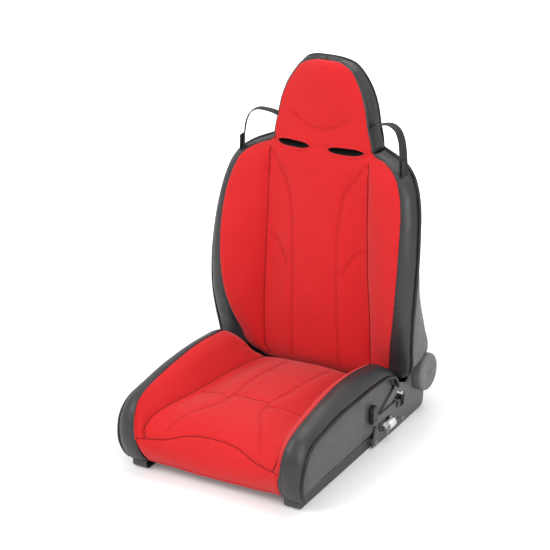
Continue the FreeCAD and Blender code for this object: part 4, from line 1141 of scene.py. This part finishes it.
    def shell(self) -> None:
        """Make the vinyl shell round the rear of the backrest."""
        half = []
        for z, _, _, pipe_x, pipe_y, corner_x, corner_y, rear in self.side_rows:
            back_x = corner_x * 0.72
            half.append([(0, rear, z), (back_x * 0.5, rear - 1.5, z), (back_x, rear - 6, z),
                         ((back_x + corner_x) / 2 + 5, (rear - 6 + corner_y) / 2 + 6, z),
                         (corner_x, corner_y, z),
                         ((corner_x + pipe_x) / 2 + 5, (corner_y + pipe_y + 6) / 2 + 3, z),
                         (pipe_x - 1, pipe_y + 6, z)])
        front = stretched(both_halves(np.array(half, float)), self.step + 0.6)
        middle = front.mean(axis=1, keepdims=True)
        inward = middle - front
        inward[..., 2] = 0
        inward = unit(inward)
        back = front + inward * self.shell_thickness
        height = front[..., 2]
        low = np.clip((300 - height) / 150, 0, 1) ** 2
        folds = np.sin(front[..., 0] * 0.055 + 0.8 * np.sin(height * 0.02)) * low * 2.0
        front = front + inward * folds[..., None]
        seams = [Seam(front[2:3, ::10].reshape(-1, 3), 1.2, 2.4, Sewn.SINGLE)]
        for shift in (-46, 46):
            seams.append(Seam(front[::8, front.shape[1] // 2 + shift], 1.4, 2.5, Sewn.SINGLE))
        cover = Cover(front, back, seams, cap=3.0, wave=0.6, seed=31, roll=1.0).shaped()
        self.add("rear_shell", self.slotted(cover.skin()), "shell", Slot.VINYL, ["back_shell"])
        self.add("rear_shell_thread", cover.threads(), "black_thread", Slot.VINYL)

    def underside(self) -> None:
        """Make the cloth that closes the backrest below: a sheet bent round its foot."""
        bend = smooth_path([(0, 214, 196), (0, 209, 150), (0, 205, 108), (0, 211, 88), (0, 236, 87),
                            (0, 290, 111), (0, 350, 160)], 4.0)
        across = np.linspace(-1, 1, 100)[None, :]
        height = bend[:, 2:]
        wide = np.where(bend[:, 1:2] < 213, 200 + 30 * np.clip((height - 98) / 60, 0, 1) ** 0.5, 230.0)
        front = np.stack([across * wide, 0 * across + bend[:, 1:2], 0 * across + height], axis=-1)
        front[..., 2] -= np.where(front[..., 1] > 220, 15.0, 0.0) * across ** 10
        normal = grid_normals(front)
        front += normal * ripples(front, 0.8, 60.0, 81)[..., None]
        self.add("back_underside", slab(front, front + normal * self.under_cloth), "cloth", Slot.LINING)

    def hood(self) -> None:
        """Make the black hood behind the red headrest cover, closed over its top."""
        half = []
        for z, edge_x, edge_y, front_x, front_y, side_x, side_y, rear_x, rear_y in self.hood_rows:
            round_out = min(5.0, (rear_y - side_y) * 0.3)
            half.append([(0, rear_y + 1, z), (rear_x * 0.5, rear_y + 1, z), (rear_x, rear_y, z),
                         ((side_x + rear_x) / 2 + round_out, (side_y + rear_y) / 2 + round_out, z),
                         (side_x, side_y, z), (front_x, front_y, z), (edge_x, edge_y, z)])
        front = stretched(both_halves(np.array(half, float)), self.step)
        around = np.arctan2(front[..., 0], front[..., 1] - 262)
        gather = 2.6 * np.sin(around * 23) * np.exp(-((front[..., 2] - 710) / 24) ** 2)
        front[..., :2] *= (1 + gather / 150)[..., None]
        middle = np.stack([0 * front[..., 0], 0 * front[..., 1] + 274.0, front[..., 2] - 2], axis=-1)
        back = front + unit(middle - front) * self.hood_thickness
        seams = [Seam(front[::5, column], 1.2, 2.2, Sewn.SINGLE) for column in (3, -4)]
        seams.append(Seam(front[1, ::6], 1.6, 3.0, Sewn.BARE))
        cover = Cover(front, back, seams, cap=5.0, wave=0.5, seed=41, roll=1.5).shaped()
        self.add("headrest_hood", self.slotted(cover.skin()), "vinyl", Slot.VINYL, ["headrest_cover"],
                 fill=0.6)
        edge = np.array([(row[5] + 0.8, row[6] + 0.8, row[0]) for row in self.hood_rows], float)
        edge = smooth_path(np.concatenate([edge, mirrored(edge)[::-1]]), self.cord_step)
        cord = sweep(edge, circle(self.hood_cord_radius, 10), (0, 1, 0))
        self.add("headrest_cord", cord, "cord", Slot.PIPING, merge=True)
        self.add("headrest_hood_thread", cover.threads(), "black_thread", Slot.VINYL)

    def loops(self) -> None:
        """Make the webbing loops beside the headrest, with the sewn patch at each foot."""
        line = np.array([(133, 768), (148, 779), (168, 787), (191, 790), (211, 780), (223, 757),
                         (228.5, 725), (231, 695), (233, 664)], float)
        path = np.stack([line[:, 0], np.linspace(257, 237, len(line)), line[:, 1]], axis=1)
        turn = np.radians(np.linspace(90, 58, len(line)))
        facing = np.stack([np.cos(turn), np.sin(turn), 0 * turn], axis=1)
        foot = np.array([(233.2, 237.5, 706), (234.2, 237.2, 686), (235.2, 236.8, 664)], float)
        box = np.array([(236.4, 228, 702), (236.6, 246, 702), (237.9, 246, 668), (237.7, 228, 668)])
        tacks = ((0, 1), (1, 2), (2, 3), (3, 0), (0, 2), (1, 3))
        arch = np.sin(np.linspace(0, math.pi, len(path)))[:, None]
        for side in Side:
            sag = self.loop_sag if side is Side.RIGHT else 0.0
            centre = smooth_path(path - np.array([0, 0, sag]) * arch, 2.5) * side.flip
            knots = np.linspace(0, 1, len(facing))
            turned = spline(facing, knots, np.linspace(0, 1, len(centre))) * side.flip
            strap = sweep(centre, ribbon(self.loop_width, self.loop_thickness, 6), turned)
            self.add(f"loop_{side.word}", strap, "webbing", Slot.WEBBING, [f"grab_handle_{side.word}"],
                     merge=True)
            profile = ribbon(self.patch_width, self.patch_thickness, 5)
            patch = sweep(smooth_path(foot, 2.5) * side.flip, profile, (0, 1, 0))
            self.add(f"loop_patch_{side.word}", patch, "webbing", Slot.WEBBING, ["handle_patches"],
                     merge=True)
            corners = box * side.flip
            out = np.array([side.value, 0.0, 0.0])
            sewn = joined([tack_row(corners[first], corners[second], out) for first, second in tacks])
            self.add(f"loop_thread_{side.word}", sewn, "black_thread", Slot.WEBBING)

    def make(self) -> None:
        """Make every soft piece of the backrest."""
        self.slots(self.cover())
        self.bands()
        self.shell()
        self.underside()
        self.hood()
        self.loops()
        self.straps("back_straps", "back_webs", 2, 5)


# Seat base


@dataclass
class Cushion(Maker):
    """The padded seat base: red cover, black bands, side panels, piping and foam."""
    datum_y: float = -262.0
    datum_z: float = 85.0
    floor: float = 14.0
    band_thickness: float = 14.0
    # the side panels' inner face and hem, and how far they bulge and hang out of their plane
    panel_inner_x: float = 228.0
    panel_x: float = 244.0
    panel_hem_z: float = 37.0
    panel_bulge: float = 13.0
    panel_hang: float = 17.0
    lining_thickness: float = 2.5
    # size of the cells from which the foam is smoothed, in metres
    foam_cell: float = 0.007
    # y, degrees round the nose, edge x, edge height, seam x, seam height, crown, bow x, bow height
    cover_rows: tuple = (
        (180, 0, 160, 28, 150, 26, 35, 0, 0), (166, 0, 192, 44, 150, 31, 39, -2, 2),
        (152, 0, 211, 68, 150, 35, 42, -4, 3), (134, 0, 216, 95, 151, 38, 46, -6, 4),
        (106, 0, 218, 117, 151, 43, 52, -7, 4), (30, 0, 216, 138, 152, 55, 64, -7, 4),
        (-70, 0, 214, 145, 153, 64, 73, -7, 4), (-160, 0, 215, 139, 158, 69, 76, -6, 4),
        (-235, 0, 217, 128, 168, 72, 74, -4, 4), (-262, 10, 217, 121, 174, 72, 70, -3, 3),
        (-262, 30, 215, 120, 181, 76, 68, -2, 3), (-262, 50, 210, 113, 187, 84, 68, -1, 2),
        (-262, 64, 206, 106, 188, 89, 70, 0, 0), (-262, 78, 202, 100, 182, 90, 75, 0, 0),
        (-262, 104, 197, 90, 130, 85, 82, 0, -1), (-262, 132, 192, 86, 119, 88, 90, 0, 0))
    # y, degrees, edge x, edge height, piping x, piping height
    band_rows: tuple = (
        (152, 0, 212, 68, 259, 44), (134, 0, 216, 95, 262, 76), (106, 0, 218, 117, 263, 91),
        (30, 0, 216, 138, 263, 102), (-70, 0, 214, 145, 263, 104), (-160, 0, 215, 139, 263, 104),
        (-235, 0, 217, 128, 263, 95), (-262, 10, 217, 121, 263, 91), (-262, 30, 215, 120, 263, 90),
        (-262, 50, 210, 113, 263, 88), (-262, 72, 204, 102, 261, 85), (-262, 96, 199, 94, 258, 84),
        (-262, 118, 195, 88, 254, 83), (-262, 136, 193, 86, 250, 84))

    def spot(self, x: float, height: float, y: float, degrees: float) -> tuple:
        """Return a point at a height above the datum line, turned forward round it."""
        angle = math.radians(degrees)
        return x, y - height * math.sin(angle), self.datum_z + height * math.cos(angle)

    def cover(self) -> None:
        """Make the red cover over the cushion, its side bolsters and its nose."""
        half = []
        floor = []
        for y, turn, edge_x, edge, seam_x, seam, crown, bow_x, bow in self.cover_rows:
            line = [(0, crown), (seam_x * 0.5, crown - (crown - seam) * 0.25), (seam_x, seam),
                    (seam_x * 0.62 + edge_x * 0.38 + bow_x * 0.6, seam * 0.62 + edge * 0.38 + bow * 0.55),
                    ((seam_x + edge_x) / 2 + bow_x + 12, (seam * 0.28 + edge * 0.72) + bow),
                    (edge_x, edge)]
            half.append([self.spot(x, h, y, turn) for x, h in line])
            floor.append([self.spot(x * 0.99, self.floor, y, turn) for x, _ in line])
        net = both_halves(np.array(half, float))
        front = stretched(net, self.step)
        base = both_halves(np.array(floor, float))
        knots = chords(net)
        rows = np.linspace(0, knots[-1], front.shape[0])
        back = np.swapaxes(spline(base, knots, rows), 0, 1)
        across = chords(np.swapaxes(net, 0, 1))
        back = np.swapaxes(spline(back, across, np.linspace(0, across[-1], front.shape[1])), 0, 1)
        cover = Cover(front, back, self.cover_seams(), cap=4.5, wave=0.4, seed=51, roll=3.0).shaped()
        self.red_cover("cushion", cover, cover.skin(), ["cushion_centre_pad", "cushion_front_panel",
                                                        "cushion_bolster_left", "cushion_bolster_right"])

    def cover_seams(self) -> list[Seam]:
        """Return the seams of the cushion's red cover."""
        rows = [row for row in self.cover_rows if row[1] <= 78]
        upright = [self.spot(row[4], row[5], row[0], row[1]) for row in rows]
        wave = [(205, 98, 80), (190, 92, 78.5), (160, 82, 77), (125, 76, 72.5), (92, 71, 62.5),
                (62, 69, 54), (30, 68.5, 50), (0, 68.5, 49)]
        nose = [self.spot(x, h, self.datum_y, turn) for x, h, turn in wave]
        nose = np.array(nose + [(-x, y, z) for x, y, z in nose[-2::-1]], float)
        flare = [(64, 150, 128), (62, 60, 145), (61, -50, 156), (53, -120, 160), (57, -188, 160),
                 (86, -240, 156), (116, -290, 138), (134, -322, 122)]
        branch = [(52, -163, 160), (78, -148, 160), (106, -139, 158), (148, -136, 152)]
        crease = [(-46, -134, 161), (0, -136, 162), (46, -134, 161)]
        hem = [self.spot(x, h, self.datum_y, 125) for x, h in
               ((-192, 87), (-120, 88), (-60, 89), (0, 90), (60, 89), (120, 88), (192, 87))]
        sides = [Seam(upright, 3.0, 2.6, Sewn.CREASE, 0.95),
                 Seam(flare, 1.0, 3.0, Sewn.DOUBLE),
                 Seam(branch, 1.0, 3.0, Sewn.DOUBLE)]
        middle = [Seam(nose, 2.6, 2.6, Sewn.CREASE, 0.9),
                  Seam(crease, 2.4, 2.6, Sewn.CREASE),
                  Seam(hem, 1.2, 2.6, Sewn.SINGLE)]
        return sides + [seam.mirrored() for seam in sides] + middle

    def bands(self) -> None:
        """Make the black bands outside the bolsters, with their piping."""
        net = []
        for y, turn, edge_x, edge, pipe_x, pipe in self.band_rows:
            line = []
            for share in np.linspace(0, 1, 5):
                bow = 4 * share * (1 - share)
                line.append(self.spot(edge_x + 0.6 + share * (pipe_x - edge_x - 0.6) + 7 * bow,
                                      edge + share * (pipe - edge) + 6 * bow, y, turn))
            net.append(line)
        front = stretched(np.array(net, float), self.step)
        middle = front.mean(axis=1, keepdims=True)
        back = front * 0.6 + (middle + np.array([-10.0, 0.0, 0.0])) * 0.4
        normal = grid_normals(front)
        if np.einsum("ijk,ijk->", normal, front - back) < 0:
            normal = -normal
        back = back - normal * self.band_thickness
        seams = [Seam(front[::6, 2], 0.9, 2.4, Sewn.SINGLE, 0.6)]
        cord = [self.spot(row[4] + 2.4, row[5] - 1.5, row[0], row[1]) for row in self.band_rows]
        self.black_band("cushion", Cover(front, back, seams, cap=4.0, wave=0.55, seed=61, roll=0.8),
                        smooth_path(cord, self.cord_step), (1, 0, 0))

    def side_panels(self) -> None:
        """Make the padded side panels between the piping and the rails.

        A row runs from the piping straight down to the hem, and the panel stands out by a bump
        that is the product of a rise along the row and a rise along the side.
        """
        top = np.array([self.spot(row[4], row[5] - 2, row[0], row[1]) for row in self.band_rows[:-1]], float)
        top = smooth_path(top, self.step)
        share = np.linspace(0, 1, len(top))
        foot_y = 118 + (-340 - 118) * share
        foot = np.stack([0 * share, foot_y, np.full(len(share), self.panel_hem_z)], axis=1)
        down = np.linspace(0, 1, 48)[None, :, None]
        flat = top[:, None] * (1 - down) + foot[:, None] * down
        y, z = flat[..., 1], flat[..., 2]
        lift = np.sin(np.clip(down[..., 0], 0, 1) * math.pi) ** 0.6
        lift = lift * np.clip((4 - y) / 40, 0, 1) ** 0.8
        front_fade = np.clip((y + 344) / 34, 0, 1) ** 0.6
        hanging = np.clip(1 - down[..., 0] / 0.3, 0, 1) ** 2 * np.clip((44 - y) / 40, 0, 1)
        x = np.maximum(self.panel_x + self.panel_bulge * lift * front_fade,
                       self.panel_x + self.panel_hang * hanging)
        front = np.stack([x, y, z], axis=-1)
        back = np.stack([0 * x + self.panel_inner_x, y, z], axis=-1)
        skin = Cover(front, back, [], cap=3.0, wave=0.6, seed=71, roll=2.0).shaped().skin()
        for side in Side:
            self.add(f"side_panel_{side.word}", skin.on(side), "panel", Slot.VINYL,
                     [f"cushion_side_panel_{side.word}"], fill=0.5)

    def linings(self) -> None:
        """Make the cloth behind each recliner plate, from the cushion down to the rail."""
        y, z = np.meshgrid(np.linspace(104, 198, 34), np.linspace(32, 122, 34))
        x = 229 + ripples(np.stack([y, z, z * 0], axis=-1), 0.7, 50.0, 82)
        front = np.stack([x, y, z], axis=-1)
        back = front - np.array([self.lining_thickness, 0, 0])
        for side in Side:
            self.add(f"rear_lining_{side.word}", slab(front * side.flip, back * side.flip), "cloth",
                     Slot.LINING)

    def core(self, block: Any) -> None:
        """Make the cloth-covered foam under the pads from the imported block."""
        piece = bpy.data.objects.new("foam_core", block.data.copy())
        bpy.context.scene.collection.objects.link(piece)
        weld(piece)
        modifier = piece.modifiers.new("remesh", "REMESH")
        modifier.mode = "VOXEL"
        modifier.voxel_size = self.foam_cell
        smooth = piece.modifiers.new("smooth", "SMOOTH")
        smooth.iterations = 4
        apply_modifiers(piece)
        piece.data.materials.clear()
        piece.data.materials.append(self.finishes.get("cloth"))
        piece.data.shade_smooth()
        dress(piece, Body.BASE, ["cushion_foam_core"])

    def make(self, block: Any) -> None:
        """Make every soft piece of the base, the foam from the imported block."""
        self.cover()
        self.bands()
        self.side_panels()
        self.linings()
        self.core(block)
        self.straps("base_straps", "base_webs", 1, 6)


# Metalwork and hinge caps


@dataclass
class Metalwork(Maker):
    """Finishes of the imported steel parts, and the turned face of each hinge cap."""
    pivot_y: float = 303.0
    pivot_z: float = 105.0
    cap_start_x: float = 250.3
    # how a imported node's name starts, and the key of its finish
    groups: tuple = (
        (("base_rail_", "cushion_tube_", "base_front_tube", "base_rear_tube", "shaft_brackets",
          "back_lower_tube", "back_upper_tube", "headrest_hoop", "back_side_tube_"), "paint"),
        (("recliner_plate_", "release_lever"), "plate"),
        (("pivot_bolt_", "plate_fasteners", "arm_bolts", "spring_post"), "steel"),
        (("recliner_arm_", "pawl_", "cross_shaft"), "oiled"),
        (("coil_spring",), "zinc"), (("spiral_spring_",), "blued"), (("lever_grip",), "plastic"))
    # distance from the middle, distance out of the plate
    cap_profile: tuple = (
        (0.01, 21.5), (5, 21.5), (6.5, 20.6), (8, 20.6), (9.5, 22.2), (30, 22.2), (33, 22.6), (40, 23.2),
        (43.5, 24), (46.5, 23.3), (48.8, 21), (49.8, 17.5), (50, 12), (50, 1.5), (49.5, 0.3), (47, 0.3),
        (46.6, 2), (46.6, 17), (44, 19.4), (9, 19.4), (0.01, 19.4))

    def paint(self, nodes: dict[str, Any]) -> None:
        """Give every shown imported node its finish."""
        for starts, key in self.groups:
            for name, node in nodes.items():
                if name.startswith(starts):
                    node.data.materials.clear()
                    node.data.materials.append(self.finishes.get(key))

    def caps(self) -> None:
        """Make each hinge cap: its profile turned once about the hinge line."""
        radius, out = np.array(self.cap_profile, float).T[:, :, None]
        angle = np.linspace(0, 2 * math.pi, 97)
        x = np.repeat(self.cap_start_x + out, len(angle), axis=1)
        grid = np.stack([x, self.pivot_y + radius * np.cos(angle), self.pivot_z + radius * np.sin(angle)],
                        axis=-1)
        for side in Side:
            skin = Skin((grid * side.flip).reshape(-1, 3), quads(*grid.shape[:2])).outwards()
            self.add(f"cap_{side.word}", skin, "cap", Slot.PLASTIC, [f"hinge_cap_{side.word}"], merge=True)

    def make(self, nodes: dict[str, Any]) -> None:
        """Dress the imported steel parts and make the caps."""
        self.paint(nodes)
        self.caps()


# Studio


@dataclass
class Studio:
    """Camera, floor and soft lamps."""
    eye: tuple = (2342.89, -3923.08, 2411.56)
    azimuth: float = 30.9
    elevation: float = 23.3
    roll: float = -1.5
    sensor: float = 36.0
    focal: float = 36.0 * 2000 / 550
    # the floor's glow to the camera: near the seat, how much it rises, and from where to where
    glow: float = 0.1
    glow_rise: float = 0.8
    glow_span: tuple = (0.9, 2.0)
    # the world's light on the seat, where the camera sees it as 1
    ambient: float = 0.7
    # name, place in metres, aim, size, watts
    lamps: tuple = (("key", (-1.6, -2.4, 3.0), (0.0, 0.0, 0.4), 2.2, 70.0),
                    ("fill", (2.8, -1.6, 1.9), (0.0, 0.0, 0.4), 2.0, 44.0),
                    ("top", (0.3, 0.9, 3.2), (0.0, 0.1, 0.4), 2.4, 42.0))

    def camera(self) -> None:
        """Place the camera at the photograph's distance and angle."""
        data = bpy.data.cameras.new("camera")
        data.lens = self.focal
        data.sensor_width = self.sensor
        data.clip_end = 100.0
        camera = bpy.data.objects.new("camera", data)
        a, e, r = (math.radians(value) for value in (self.azimuth, self.elevation, self.roll))
        ahead = Vector((-math.sin(a) * math.cos(e), math.cos(a) * math.cos(e), -math.sin(e)))
        right = Vector((math.cos(a), math.sin(a), 0.0))
        up = right.cross(ahead)
        right, up = right * math.cos(r) + up * math.sin(r), up * math.cos(r) - right * math.sin(r)
        turn = Matrix((right, up, -ahead)).transposed()
        camera.matrix_world = Matrix.Translation(Vector(self.eye) * MM) @ turn.to_4x4()
        bpy.context.scene.collection.objects.link(camera)
        bpy.context.scene.camera = camera

    def floor(self) -> None:
        """Make the white floor."""
        grid = stretched(np.array([[(-9e3, -9e3, -0.5), (9e3, -9e3, -0.5)],
                                   [(-9e3, 9e3, -0.5), (9e3, 9e3, -0.5)]], float), 3000.0)
        graph = Graph("studio_floor")
        seen = graph.node("ShaderNodeLightPath", output="Is Camera Ray")
        graph.surface(Base_Color=(0.9, 0.89, 0.89, 1.0), Roughness=0.9, Specular_IOR_Level=0.0,
                      Emission_Strength=1.0)
        glow = graph.away(*self.glow_span) * self.glow_rise + self.glow
        graph.feed(graph.shader.inputs["Emission Color"], seen * glow)
        mesh = bpy.data.meshes.new("floor")
        mesh.from_pydata((grid.reshape(-1, 3) * MM).tolist(), [], quads(*grid.shape[:2]).tolist())
        mesh.materials.append(graph.material)
        floor = bpy.data.objects.new("floor", mesh)
        bpy.context.scene.collection.objects.link(floor)

    def light(self) -> None:
        """Hang the lamps and set a pale world."""
        for name, place, aim, size, watts in self.lamps:
            data = bpy.data.lights.new(name, "AREA")
            data.energy = watts
            data.size = size
            lamp = bpy.data.objects.new(name, data)
            lamp.location = place
            lamp.rotation_euler = (Vector(aim) - Vector(place)).to_track_quat("-Z", "Y").to_euler()
            bpy.context.scene.collection.objects.link(lamp)
        world = bpy.data.worlds.new("studio")
        world.use_nodes = True
        back = world.node_tree.nodes["Background"]
        back.inputs[0].default_value = (1.0, 1.0, 1.0, 1.0)
        rays = world.node_tree.nodes.new("ShaderNodeLightPath")
        bright = world.node_tree.nodes.new("ShaderNodeMapRange")
        bright.inputs["To Min"].default_value = self.ambient
        world.node_tree.links.new(rays.outputs["Is Camera Ray"], bright.inputs["Value"])
        world.node_tree.links.new(bright.outputs[0], back.inputs[1])
        bpy.context.scene.world = world

    def make(self) -> None:
        """Set the studio up."""
        bpy.context.scene.view_settings.view_transform = "Standard"
        self.camera()
        self.floor()
        self.light()


def main() -> None:
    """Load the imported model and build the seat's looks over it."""
    logging.basicConfig(level=logging.INFO, format="%(message)s")
    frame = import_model()
    nodes = frame["nodes"]
    finishes = Finishes()
    Studio().make()
    Metalwork(finishes).make(nodes)
    Backrest(finishes).make()
    Cushion(finishes).make(nodes["cushion_foam_core"])


if __name__ == "__main__":
    main()
